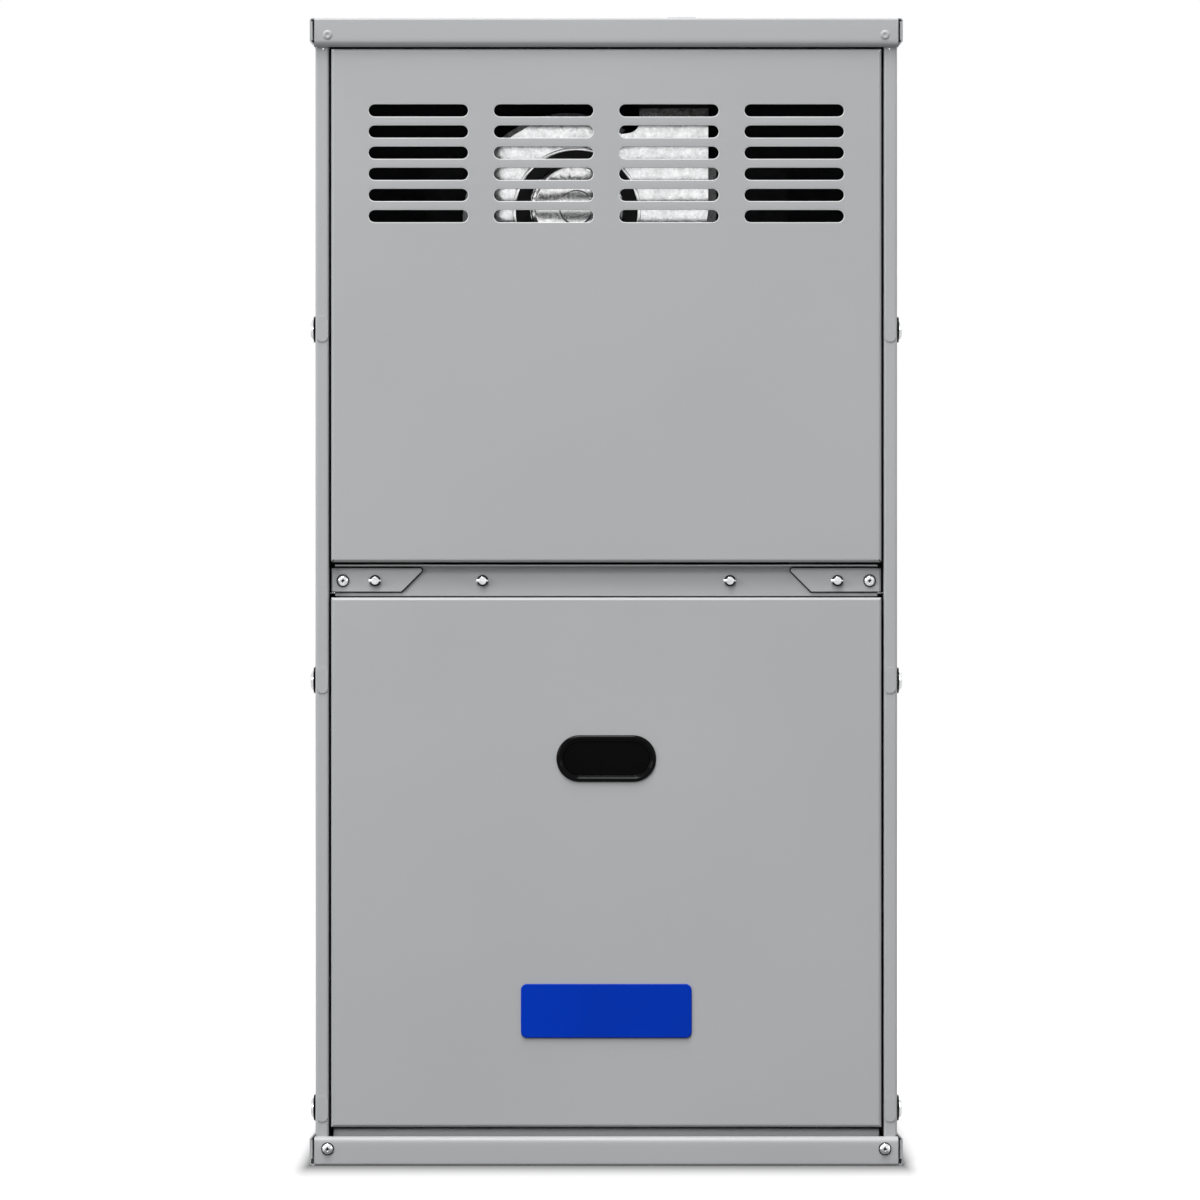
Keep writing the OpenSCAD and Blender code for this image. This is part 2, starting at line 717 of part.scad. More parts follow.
module crossbar() {
    x = channel_x - bar_end_gap;
    lip_y = bar_y + 14;
    color(paint) difference() {
        union() {
            along_x(-x, x) fold([
                [bar_y - bar_ledge, ledge_z - sheet / 2],
                [bar_y + sheet / 2, ledge_z - sheet / 2],
                [bar_y + sheet / 2, bar_z + sheet / 2],
                [lip_y + sheet, bar_z + sheet / 2]], sheet, 0.7 * bend_r);
            // Lips that narrow the gap over the lower door, in front and behind
            box([-x, bar_y, bar_z - bar_lip], [x, bar_y + sheet, bar_z + 2]);
            box([-x, lip_y, bar_z - 2 * bar_lip], [x, lip_y + sheet, bar_z + sheet / 2]);
        }
        for (s = [-1, 1], x = [stud_mid, channel_x - stud_inset, channel_x - pan_inset])
            rod_y([s * x, bar_y - 1, screw_z], shank_r + 0.1, sheet + 2);
    }
}

// Front outline of the left end bracket from x0 to its slanted tip, grown by g
module bracket_outline(x0, g) {
    tip = bracket_w - channel_x + g;
    low = bracket_z - g;
    top = bracket_z + bracket_h + g;
    r = 1.5 + g;
    polygon(concat([[x0, low], [tip - (top - low) + r * sqrt(2), low]],
                   arc([tip - r, top - r], r, -45, 90, fold_steps), [[x0, top]]));
}

// A plate with one corner cut at 45 degrees, folded back at the casing
module bar_bracket() {
    x0 = -door_x;
    y = bracket_y + bracket_t / 2;
    difference() {
        union() {
            along_y(bracket_y, bracket_y + bracket_t) bracket_outline(x0 + bracket_t, 0);
            along_z(bracket_z, bracket_z + bracket_h)
                fold([[x0 + 8, y], [x0 + bracket_t / 2, y], [x0 + bracket_t / 2, case_front + channel_d]],
                     bracket_t, bracket_t);
        }
        bracket_holes(shank_r + 0.1);
    }
}

// Holes for the pan screw and the stud of the left bracket, through bracket and gasket
module bracket_holes(r) {
    for (x = [pan_inset, stud_inset])
        rod_y([x - channel_x, bracket_y - 1, screw_z], r, bracket_t + gasket_t + 1.5);
}

module end_brackets() {
    color(paint) both_sides() bar_bracket();
}

module bar_gaskets() {
    color(black) both_sides() difference() {
        along_y(bar_y - gasket_t, bar_y) bracket_outline(bar_end_gap - channel_x, gasket_rim);
        bracket_holes(shank_r + 0.1);
    }
}

module blower_deck() {
    y = bar_y + sheet;
    mid = panel_t / 2;
    lip_x = channel_x - stud_inset + 8;
    color(zinc) difference() {
        union() {
            box([-in_x + 0.3, y + 8, deck_low], [in_x - 0.3, case_rear - 2 * sheet - 0.3, deck_z]);
            // Front edge, turned up behind the crossbar
            along_x(-lip_x, lip_x) fold([[y + 12, deck_low + mid], [y + mid, deck_low + mid],
                                         [y + mid, ledge_z - sheet - 3]], panel_t, bend_r);
        }
        for (p = stud_places()) rod_y([p[0], y - 1, screw_z], shank_r + 0.1, panel_t + 2);
        box([-side_x, cut_y, deck_low - 1], [side_x, out_y, deck_z + 1]);
        rod_z([in_x - 30, vest_y - 90, deck_low - 1], 9, panel_t + 2);
        // Notches round the casing's channels
        both_sides()
            box([channel_x - bar_end_gap - 1, bar_y, deck_low - 1],
                [in_x + 1, case_front + channel_d + 25, deck_z + 1]);
    }
}

module vest_panel() {
    top = plate_z - sheet - 0.3;
    color(soot) difference() {
        union() {
            box([-in_x + 0.3, vest_y, deck_z], [in_x - 0.3, vest_back, top]);
            box([-in_x + 20, vest_back - 0.2, deck_z], [in_x - 20, vest_back + 12, deck_z + panel_t]);
            box([-in_x + 20, vest_back - 0.2, top - panel_t], [in_x - 20, vest_back + 8, top]);
        }
        for (x = tube_x, z = [burner_z, inducer_z])
            rod_y([x, vest_y - 1, z], tube_r - tube_wall, panel_t + 2);
        rod_y([0, vest_y - 1, burner_z + 2 * pass_pitch - 46], 10, panel_t + 2);
    }
}

// Foil-faced wool on both sides and the back of the heat exchanger compartment
module insulation_liner() {
    y0 = vest_back + 14;
    y1 = case_rear - 2 * sheet - 4;
    color([0.75, 0.75, 0.73]) {
        both_sides() box([in_x - wool_t, y0, wool_z[0]], [in_x - 0.0, y1, wool_z[1]]);
        box([-in_x + wool_t + 1, y1 - wool_t, wool_z[0]], [in_x - wool_t - 1, y1, wool_z[1]]);
    }
}

// ---------- Fasteners ----------

module pan_screws() {
    color(zinc) for (s = [-1, 1]) {
        translate([s * (channel_x - pan_inset), bracket_y - seat_t, screw_z]) pan_screw(8);
        translate([s * (half_w - corner_inset), front_y - seat_t, base_screw_z]) pan_screw(4.5);
        translate([s * (half_w - corner_inset), rear_y, base_screw_z]) rotate(180) pan_screw(3.5);
        // Small pins in the flanges under the top band
        spin_y([s * pin_x, case_front, pin_z])
            polygon([[0, -0.7], [0.6, -0.7], [1.1, 0], [pin_r, 0], [pin_r, sheet], [0, sheet]]);
    }
}

// Face that each stud stands on: the bracket's at the ends, the crossbar's in the middle
function stud_places() = [for (s = [-1, 1])
    each [[s * (channel_x - stud_inset), bracket_y], [s * stud_mid, bar_y]]];

// Quarter-turn stud with a domed head and a cross pin
module crossbar_studs() {
    color(zinc) for (p = stud_places()) translate([p[0], p[1] - washer_t, screw_z]) union() {
        rotate([-90, 0, 0]) rotate_extrude() polygon(concat(
            [[0, -stud_h]],
            [for (a = [70:-14:0]) [stud_r - 0.8 + 0.8 * cos(a), -stud_h + 0.8 - 0.8 * sin(a)]],
            [[stud_r, 0], [shank_r, 0], [shank_r, 8], [0, 8]]));
        rod_x([-stud_pin, -stud_h / 2, 0], wing_r, stud_pin);
        rod_x([0, -stud_h / 2, 0], pin_r, 0.9 * stud_pin);
    }
}

// Washer on the plane y = 0, towards the front
module washer(r, t) {
    difference() {
        rod_y([0, -t, 0], r, t);
        rod_y([0, -t - 1, 0], shank_r + 0.1, t + 2);
    }
}

// Dark washers under the studs and under the pan heads at the front
module crossbar_washers() {
    color(black) {
        for (p = stud_places()) translate([p[0], p[1], screw_z]) washer(washer_r, washer_t);
        for (s = [-1, 1]) {
            translate([s * (channel_x - pan_inset), bracket_y, screw_z]) washer(pan_r + 0.7, seat_t);
            translate([s * (half_w - corner_inset), front_y, base_screw_z]) washer(pan_r + 0.7, seat_t);
        }
    }
}

module cap_rivets() {
    color(paint) for (s = [0, 1]) rotate(180 * s) for (x = [-1, 1] * (half_w - corner_inset))
        spin_y([x, front_y, case_h - rivet_drop])
            polygon([[0, 0.3 - rivet_h], [1.2, 0.3 - rivet_h], [1.6, -rivet_h], [rivet_r * 0.66, -rivet_h],
                     [rivet_r, 0], [shank_r, 0], [shank_r, 3], [0, 3]]);
}

// Snap-in plug: a dark flange, a bright dome and a neck that fills the hole
module side_plugs() {
    color(zinc) both_sides() for (z = plug_z) spin_x([-half_w, case_front + plug_set, z]) polygon([
        [0, -plug_h], [plug_dome_r - 2.4, -plug_h], [plug_dome_r - 0.6, -plug_h + 0.8],
        [plug_dome_r, -2.1], [plug_r - 0.6, -1.7], [plug_r, 0], [plug_hole_r - 0.2, 0],
        [plug_hole_r - 0.2, sheet + 0.2], [plug_hole_r - 0.8, 4.5], [plug_hole_r - 2, 4.5],
        [plug_hole_r - 2, 0.5], [0, 0.5]]);
}

// ---------- Heat exchanger ----------

// One tube's path as a solid of radius r: four level passes joined by three return bends
module serpentine(r, over) {
    for (i = [0:3]) {
        y0 = i == 0 || i == 3 ? vest_back - over : front_bend_y;
        rod_y([0, y0, burner_z + i * pass_pitch], r, rear_bend_y - y0);
    }
    for (i = [0:2])
        translate([0, i == 1 ? front_bend_y : rear_bend_y, burner_z + (i + 0.5) * pass_pitch])
            mirror([0, i == 1 ? 1 : 0, 0]) rotate([0, 90, 0]) rotate_extrude(angle = 180)
                translate([pass_pitch / 2, 0]) circle(r = r);
}

module heat_tube(i) {
    color([0.55, 0.55, 0.54]) translate([tube_x[i], 0, 0]) difference() {
        serpentine(tube_r, 0);
        serpentine(tube_r - tube_wall, 1);
    }
}

module tube_support() {
    y = rear_bend_y - support_set;
    x = max(tube_x[tube_n - 1] + tube_r + 14, side_x + 30);
    margin = tube_r + 8;
    color(zinc) difference() {
        union() {
            box([-x, y, burner_z - margin], [x, y + panel_t, inducer_z + margin]);
            both_sides() {
                box([x - 24, y, deck_z], [x, y + panel_t, burner_z]);
                box([x - 24, y, deck_z], [x, y + 20, deck_z + panel_t]);
            }
        }
        for (x = tube_x, i = [0:3])
            rod_y([x, y - 1, burner_z + i * pass_pitch], tube_r + tube_clear, panel_t + 2);
    }
}

module collector_box() {
    x = tube_x[tube_n - 1] + tube_r + 8;
    y = vest_y - collector_d;
    h = collector_h / 2;
    t = panel_t;
    color(soot) difference() {
        union() {
            box([-x, y, inducer_z - h], [x, vest_y, inducer_z + h]);
            box([-x - 10, vest_y - t, inducer_z - h - 10], [x + 10, vest_y, inducer_z + h + 10]);
            rod_y([-x + 22, y - 10, inducer_z - h + 14], 2.8, 11);
        }
        box([-x + t, y + t, inducer_z - h + t], [x - t, vest_y + 1, inducer_z + h - t]);
        rod_y([inducer_x, y - 1, inducer_z], inducer_eye_r * 0.7, t + 2);
    }
}

// ---------- Burners and gas train ----------

// Points along a burner's side, w inside its outer face: bell, throat, flare and outlet
function burner_side(w) = concat(
    [for (s = [0:0.25:1]) [burner_throat_r + (burner_bell_r - burner_throat_r) * pow(1 - s, 2) - w, 20 * s]],
    [[burner_throat_r - w, 40], [burner_out_r - w, burner_l - 22], [burner_out_r - w, burner_l]]);

module burner(i) {
    color(zinc) spin_y([tube_x[i], bell_y, burner_z])
        polygon(concat(burner_side(0), flip(burner_side(burner_wall))));
}

module burner_rack() {
    t = panel_t;
    top = burner_z + burner_out_r + 5;
    rear_plate = vest_y - 18;
    color(zinc) difference() {
        union() {
            for (y = [rack_y, rear_plate]) box([-rack_x, y, rack_z], [rack_x, y + t, top]);
            box([-rack_x, rack_y, rack_z], [rack_x, vest_y, rack_z + t]);
            both_sides() {
                box([rack_x - t, rack_y, rack_z], [rack_x, vest_y, top]);
                box([rack_x - t, vest_y - t, rack_z], [rack_x + 12, vest_y, top]);
            }
        }
        for (x = tube_x) {
            rod_y([x, rack_y - 1, burner_z], burner_throat_r + tube_clear, t + 2);
            rod_y([x, rear_plate - 1, burner_z], burner_out_r + tube_clear, t + 2);
        }
        // Slots for the igniter and the flame sensor
        both_sides()
            box([rack_x - t - 1, vest_y - 4.4, burner_z - 5], [rack_x + 1, vest_y - t - 0.2, burner_z + 5]);
    }
}

module gas_manifold() {
    arm_x = tube_x[tube_n - 1] + burner_bell_r + 2;
    color(black) union() {
        rod_x([-rack_x, manifold_y, burner_z], manifold_r, 2 * rack_x);
        for (x = tube_x) rod_y([x, manifold_y, burner_z], 7, manifold_r + spud_boss);
        rod_z([valve_x, manifold_y, burner_z], 9, valve_z - burner_z);
        both_sides() box([arm_x, manifold_y, burner_z - 6], [arm_x + 3, rack_y, burner_z + 6]);
    }
}

module gas_orifices() {
    l = spud_l - spud_boss + 2;
    color([0.72, 0.58, 0.3]) for (x = tube_x) spin_y([x, manifold_y + manifold_r + spud_boss, burner_z])
        polygon([[0.9, 0], [5.5, 0], [5.5, 7], [3.6, 9], [2.4, l], [0.9, l]]);
}

module gas_valve() {
    mid_y = valve_y + valve_d / 2;
    step_z = valve_z + valve_h * 0.75;  // top of the main casting
    boss_l = 8;
    color([0.62, 0.63, 0.64]) difference() {
        union() {
            translate([valve_x, mid_y, 0]) along_z(valve_z, step_z) round_rect(valve_w, valve_d, 5);
            translate([valve_x + 4, mid_y, 0]) along_z(step_z - 1, valve_z + valve_h)
                round_rect(valve_w - 26, valve_d - 14, 8);
            translate([valve_x + 22, mid_y, valve_z + valve_h - 1]) rotate_extrude()
                polygon([[0, 0], [12, 0], [12, 9], [10, 12], [6, 12], [6, 15], [0, 15]]);
            rod_x([valve_x - valve_w / 2 - boss_l, manifold_y, gas_z], gas_r + 5, boss_l + 10);
            rod_z([valve_x - 26, mid_y - 14, step_z - 1], 5, 9);
        }
        rod_x([valve_x - valve_w / 2 - boss_l - 1, manifold_y, gas_z], gas_r, gas_l + 1);
        rod_y([knob_x, valve_y - 1, knob_z], spindle_r + run_clear, 15);
    }
}

module valve_knob() {
    y = valve_y - 0.3;
    color([0.85, 0.85, 0.83]) difference() {
        union() {
            spin_y([knob_x, y - knob_h, knob_z])
                polygon([[0, 4], [knob_r - 3, 4], [knob_r, 5], [knob_r, knob_h], [0, knob_h]]);
            box([knob_x - 2.6, y - knob_h, knob_z - knob_r + 2], [knob_x + 2.6, y - 2, knob_z + knob_r - 2]);
            rod_y([knob_x, y - 2, knob_z], spindle_r, 14);
        }
        for (a = [0:30:330]) translate([knob_x, 0, knob_z]) rotate([0, a, 0])
            rod_y([knob_r + 1, y - knob_h - 1, 0], 1.8, knob_h + 2);
    }
}

// Ceramic holder on the outside of the rack's wall, its tip line just in front of the vest panel
module tip_holder() {
    box([rack_x, vest_y - 18, burner_z - 9], [rack_x + 22, vest_y - panel_t - 0.2, burner_z + 9]);
    box([rack_x + 21, vest_y - 14, burner_z - 4], [rack_x + 30, vest_y - 13, burner_z + 4]);
}

module igniter() {
    tip_x = tube_x[tube_n - 1] + 2;
    color([0.9, 0.89, 0.85]) {
        tip_holder();
        box([tip_x, vest_y - 3.6, burner_z - 4], [rack_x + 1, vest_y - 1.8, burner_z + 4]);
    }
}

module flame_sensor() {
    tip_x = tube_x[tube_n - 1] - 6;
    color([0.9, 0.89, 0.85]) mirror([1, 0, 0]) {
        tip_holder();
        rod_x([tip_x, vest_y - 2.7, burner_z], 1.1, rack_x + 1 - tip_x);
    }
}

// Disc thermostat on its plate, standing on the plane y = 0 and facing -Y
module thermostat() {
    difference() {
        box([-19, -sheet, -9], [19, 0, 9]);
        for (x = [-15, 15]) rod_y([x, -sheet - 1, 0], 1.8, sheet + 2);
    }
    rod_y([0, -stat_d, 0], 8.6, stat_d);
    for (x = [-1, 1]) box([x * 5.5 - 0.4, -stat_d - 7, -7.5], [x * 5.5 + 0.4, -stat_d + 1, -3]);
}

module thermal_switches() {
    color(zinc) {
        translate([0, vest_y, limit_z]) {
            thermostat();
            rod_y([0, 0, 0], 8.6, panel_t + 22);
        }
        difference() {
            translate([rollout_x, vest_y, rollout_z]) thermostat();
            rod_y([rollout_x, vest_y - stat_d - 1, rollout_z], button_r + run_clear, stat_d - 2);
        }
    }
}

module reset_button() {
    y = vest_y - stat_d;
    color([0.7, 0.12, 0.1]) union() {
        rod_y([rollout_x, y - 4, rollout_z], button_r, stat_d - 2);
        rod_y([rollout_x, y - 4, rollout_z], button_r + 1, 1.6);
    }
}

module pressure_switch() {
    color([0.3, 0.32, 0.34]) translate([press_x, vest_y, press_z]) union() {
        difference() {
            box([-14, -panel_t, -40], [14, 0, 40]);
            for (z = [-36, 36]) rod_y([0, -panel_t - 1, z], 2.2, panel_t + 2);
        }
        rotate([-90, 0, 0]) rotate_extrude() polygon([
            [0, -press_port], [2.8, -press_port], [2.8, -26], [9, -26], [10, -20], [27, -18], [30, -16],
            [30, -8], [27, -6], [12, -5], [12, -0.5], [0, -0.5]]);
    }
}

module pressure_hose() {
    x = -tube_x[tube_n - 1] - tube_r + 14;
    y = vest_y - collector_d - 10;
    z = inducer_z - collector_h / 2 + 14;
    a = [press_x, vest_y - press_port, press_z];
    b = [x, y, z];
    path = [a + [0, -2, 0], a + [0, -14, 0], a + [2, -24, 6], a + [12, -36, 26], (a + b) / 2 + [-4, -44, 12],
            b + [-14, -34, -16], b + [-2, -24, -3], b + [0, -14, 0], b + [0, -2, 0]];
    color(black) sweep(concat([a], smooth(path, 4), [b]), 4, 8);
}

// ---------- Draft inducer and vent ----------

// Outline of the scroll and its outlet seen from the front, grown by g, round at the cut-off
module inducer_outline(g, top) {
    line = [for (p = spiral(inducer_r0, inducer_r1, inducer_cut, -g)) p + inducer_mid];
    neck = [out_x0 - g, inducer_z + inducer_r0 * sin(inducer_cut) + 2 + g];
    polygon(concat(line, [[out_x1 + g, top], [out_x0 - g, top]],
                   corner([out_x0 - g, top], neck, line[0], neck_r, 0)));
}

module inducer_housing() {
    t = panel_t;
    color(zinc) difference() {
        union() {
            along_y(scroll_front, scroll_back) inducer_outline(0, out_z);
            // Lip round the motor opening
            rod_y([inducer_x, scroll_front - 1.5, inducer_z], inducer_eye_r + 2.5, 2);
        }
        along_y(scroll_front + t, scroll_back + 1) inducer_outline(-t, out_z + 1);
        rod_y([inducer_x, scroll_front - 3, inducer_z], inducer_eye_r, t + 4);
    }
}

// Plate that closes the back of the scroll and shows round its edge
module inducer_plate() {
    top = inducer_z + 38;
    color([0.35, 0.35, 0.36]) difference() {
        union() {
            along_y(scroll_back, scroll_back + panel_t) inducer_outline(0, out_z);
            along_y(scroll_back, scroll_back + panel_t) polygon(concat(
                [for (p = spiral(inducer_r0, inducer_r1, inducer_cut, -inducer_rim)) p + inducer_mid],
                [[out_x1 + inducer_rim, top], [inducer_x, top]]));
        }
        rod_y([inducer_x, scroll_back - 1, inducer_z], inducer_eye_r * 0.7, panel_t + 2);
    }
}

module inducer_motor() {
    r = inducer_motor_r;
    l = inducer_motor_l + panel_t;      // from the end cap to the inside of the scroll's face
    flange_r = inducer_eye_r + 4.5;
    color(black) spin_y([inducer_x, scroll_front - inducer_motor_l, inducer_z]) polygon([
        [0, 0], [r * 0.35, 0], [r * 0.38, 2], [r - 5, 2], [r - 1.5, 3.5], [r, 7], [r, l - 8], [r - 3, l],
        [flange_r, l], [flange_r, l + 2], [inducer_bore, l + 2], [inducer_bore, 8], [0, 8]]);
}

// Ring of forward-curved blades in the plane, tip radius r and radial depth d
module blades(n, r, d, t, lean) {
    tip = r - t / 2;
    for (i = [0:n - 1]) rotate(360 * i / n)
        fold([[r - d, 0], [r - 0.35 * d, 0], tip * [cos(lean), sin(lean)]], t, 0.35 * d);
}

module inducer_wheel() {
    y0 = scroll_front + panel_t + 6;
    y1 = scroll_back - 4;
    shaft_y = scroll_front - inducer_motor_l + 10;
    color(zinc) translate([inducer_x, 0, inducer_z]) union() {
        rod_y([0, y0, 0], inducer_wheel_r, 1.5);
        difference() {
            rod_y([0, y1 - 1.5, 0], inducer_wheel_r, 1.5);
            rod_y([0, y1 - 3, 0], inducer_wheel_r - 15, 5);
        }
        rod_y([0, y0 - 2, 0], 8, 18);
        rod_y([0, shaft_y, 0], inducer_shaft_r, y0 - shaft_y);
        along_y(y0 + 1, y1 - 1) blades(20, inducer_wheel_r, 20, 1.2, 7);
    }
}

module vent_adaptor() {
    t = panel_t;
    low = out_z + collar_t;
    wall = 2 * sheet;
    color(black) difference() {
        union() {
            box([out_x0, scroll_front, out_z], [out_x1, scroll_back, low]);
            hull() {
                box([out_x0, scroll_front, low - 1], [out_x1, scroll_back, low]);
                rod_z([vent_x, vent_y, vent_low - 2], vent_r + wall, 1);
            }
            rod_z([vent_x, vent_y, vent_low - 2], vent_r + wall, vent_l + 2);
        }
        box([out_x0 + t, scroll_front + t, out_z - 1], [out_x1 - t, scroll_back - t, low - 0.5]);
        hull() {
            box([out_x0 + t, scroll_front + t, low - 1], [out_x1 - t, scroll_back - t, low - 0.5]);
            rod_z([vent_x, vent_y, vent_low - 1], vent_r - 4, 2);
        }
        rod_z([vent_x, vent_y, vent_low], vent_r, vent_l + 1);
    }
}

// ---------- Blower ----------

function scroll_line(inset) = concat(
    [[cut_y + inset, deck_low]],
    [for (p = spiral(scroll_r0, scroll_r1, scroll_cut, inset)) p + [wheel_y, wheel_z]],
    [[out_y - inset, deck_low]]);

module blower_sides() {
    t = panel_t;
    color(zinc) both_sides() union() {
        difference() {
            along_x(side_x - t, side_x) polygon(scroll_line(0));
            rod_x([side_x - 4, wheel_y, wheel_z], inlet_r + 4, 6);
        }
        // Rolled inlet lip
        spin_x([side_x, wheel_y, wheel_z]) polygon([
            [inlet_r, -9], [inlet_r + t, -9], [inlet_r + t + 1, -5], [inlet_r + 4, -t], [inlet_r + 5, -t],
            [inlet_r + 5, 0], [inlet_r + 3, 0], [inlet_r + 0.8, -4]]);
        // Flange under the deck
        box([side_x - t, cut_y, deck_low - t], [side_x + 12, out_y, deck_low]);
    }
}

module blower_wrap() {
    t = panel_t;
    x = side_x - t;
    color(zinc) union() {
        along_x(-x, x) polygon(concat(scroll_line(0), flip(scroll_line(t))));
        box([-x, cut_y - 12, deck_low - t], [x, cut_y + t, deck_low]);
        box([-x, out_y - t, deck_low - t], [x, out_y + 12, deck_low]);
    }
}

module blower_wheel() {
    w = wheel_w / 2;
    color(zinc) translate([0, wheel_y, wheel_z]) union() {
        for (x = [-w, w - 3]) difference() {
            rod_x([x, 0, 0], wheel_r, 3);
            rod_x([x - 1, 0, 0], wheel_r - blade_d + 2, 5);
        }
        rod_x([hub_x - 1, 0, 0], wheel_r - 2, 2);
        rod_x([hub_x - 24, 0, 0], 19, 48);
        rod_x([motor_x + 12, 0, 0], shaft_r, hub_x + 30 - motor_x - 12);
        along_x(-w + 1, w - 1) blades(blade_n, wheel_r, blade_d, blade_t, 7);
    }
}

module blower_motor() {
    r = motor_r;
    bore = shaft_r + run_clear;
    color([0.2, 0.2, 0.21]) difference() {
        spin_x([motor_x, wheel_y, wheel_z]) polygon([
            [0, 0], [r * 0.3, 0], [r * 0.32, 4], [r - 12, 5], [r - 3, 9], [r, 14], [r, motor_l - 14],
            [r - 3, motor_l - 9], [r - 12, motor_l - 5], [r * 0.32, motor_l - 4], [r * 0.3, motor_l],
            [bore, motor_l], [bore, 10], [0, 10]]);
        // Cooling slots in the outer end
        for (a = [0:45:315]) translate([0, wheel_y, wheel_z]) rotate([a, 0, 0])
            box([motor_x - 1, r * 0.42, -4], [motor_x + 12, r * 0.72, 4]);
    }
}

// Belly band round the motor, with three arms to the housing's side
module motor_mount() {
    r = motor_r + 0.1;
    band = 2.5;
    arms = [90, 210, 330];
    color(zinc) translate([0, wheel_y, wheel_z]) difference() {
        union() {
            difference() {
                rod_x([-side_x - 14, 0, 0], r + band, 28);
                rod_x([-side_x - 15, 0, 0], r, 30);
            }
            for (a = arms) rotate([a, 0, 0]) {
                box([-side_x - 4, r + band / 2, -9], [-side_x, inlet_r + 22, 9]);
                box([-side_x - 12, r + band / 2, -1.5], [-side_x - 3, inlet_r - 8, 1.5]);
            }
        }
        for (a = arms) rotate([a, 0, 0]) translate([0, inlet_r + 15, 0]) rod_x([-side_x - 5, 0, 0], 3, 6);
    }
}

module run_capacitor() {
    r = 20;
    x = side_x + r + 4;
    y = cut_y + 90;
    z = deck_low - 86;
    color([0.72, 0.73, 0.74]) union() {
        rod_z([x, y, z], r, 62);
        box([side_x, y - r - 8, z + 22], [side_x + 2, y + r + 8, z + 36]);
        difference() {
            rod_z([x, y, z + 22], r + 1.5, 14);
            box([x, y - r - 2, z + 21], [x + r + 2, y + r + 2, z + 37]);
        }
        box([side_x, y - 8, z + 22], [x - r + 2, y + 8, z + 36]);
        for (s = [-1, 1]) box([x - 0.4, y + s * 8 - 3, z + 60], [x + 0.4, y + s * 8 + 3, z + 70]);
    }
}

// ---------- Controls ----------

module control_bracket() {
    t = panel_t;
    low = board_z - 24;
    color(zinc) difference() {
        union() {
            box([board_x0 - 64, board_y, low], [board_x0 + board_w + 10, board_y + t, deck_low]);
            box([board_x0 - 64, board_y, deck_low - t], [board_x0 + board_w + 10, board_y + 22, deck_low]);
            box([board_x0 - 64, board_y, low], [board_x0 + board_w + 10, board_y + 14, low + t]);
            // Standoffs
            for (x = [6, board_w - 6], z = [6, board_h - 6])
                rod_y([board_x0 + x, board_y - board_gap, board_z + z], 3, board_gap + 0.5);
        }
        for (x = [board_x0 - 40, board_x0 + board_w / 2]) rod_y([x, board_y - 1, deck_low - 26], 11, t + 2);
    }
}

module control_board() {
    y = board_y - board_gap - 1.6;
    relay = [19, 16, 20];
    color([0.1, 0.36, 0.2]) translate([board_x0, y, board_z]) union() {
        box([0, 0, 0], [board_w, 1.6, board_h]);
        // Relays
        for (i = [0:3]) translate([14 + 30 * i, -relay[1], board_h - 30]) cube(relay + [0, 0.5, 0]);
        // Spade terminal rows
        for (i = [0:9]) box([16 + 13 * i, -8, 20], [22 + 13 * i, 0.5, 21]);
        // Thermostat screw strip, harness sockets and capacitors
        box([24, -11, 4], [84, 0.5, 14]);
        box([96, -13, 34], [140, 0.5, 46]);
        box([14, -12, 34], [38, 0.5, 46]);
        for (i = [0:2]) rod_y([56 + 14 * i, -14, 62], 5, 14.5);
        // Blade fuse and status lamp
        box([118, -16, 56], [136, 0.5, 62]);
        rod_y([-board_x0, -7, glass_z - board_z], 2.5, 7.5);
    }
}

module transformer() {
    x = board_x0 - 52;
    z = board_z + 6;
    y = board_y - 40;
    color([0.3, 0.3, 0.31]) union() {
        // Laminated core with its feet
        box([x, y + 8, z], [x + 44, board_y - 6, z + 52]);
        box([x + 2, board_y - 7, z - 9], [x + 42, board_y, z + 61]);
        // Windings
        translate([x + 22, 0, z + 26]) along_y(y, board_y - 6) round_rect(30, 40, 6);
    }
}

module door_switch() {
    t = panel_t;
    w = 11;
    back = switch_y + 28;
    color([0.85, 0.85, 0.83]) difference() {
        union() {
            box([switch_x - w, switch_y, switch_z - 12], [switch_x + w, switch_y + 30, switch_z + 12]);
            // Bracket that hangs it from the deck
            box([switch_x + w - 0.1, switch_y + 4, switch_z - 12], [switch_x + w + t, back, deck_low]);
            box([switch_x + w, switch_y + 4, deck_low - t], [switch_x + w + 16, back, deck_low]);
        }
        rod_y([switch_x, switch_y - 1, switch_z], plunger_r + run_clear, 27);
    }
}

// Its tip bears on the inside of the lower door
module switch_plunger() {
    tip_y = door_y + sheet + 0.3;
    color(black) union() {
        rod_y([switch_x, tip_y, switch_z], plunger_r, switch_y + plunger_travel + 10 - tip_y);
        rod_y([switch_x, tip_y, switch_z], plunger_r + 1.5, 2.5);
    }
}

// ---------- Doors ----------

module upper_door() {
    first_z = upper_z + upper_h - slot_drop;
    color(paint) difference() {
        union() {
            door_pan(upper_z, upper_h);
            door_feet(upper_z, door_gap);
        }
        for (i = [0:slot_cols - 1], j = [0:slot_rows - 1])
            translate([(i - (slot_cols - 1) / 2) * slot_pitch_x, 0, first_z - j * slot_pitch_z])
                along_y(door_y - 1, door_y + sheet + 1) stadium(slot_w, slot_h);
    }
}

module lower_door() {
    color(paint) difference() {
        union() {
            door_pan(lower_z, lower_door_h);
            door_feet(lower_z, sill_gap);
        }
        translate([0, 0, glass_z]) along_y(door_y - 1, door_y + sheet + 1)
            stadium(glass_w - 2 * glass_rim + 2, glass_h - 2 * glass_rim + 2);
    }
}

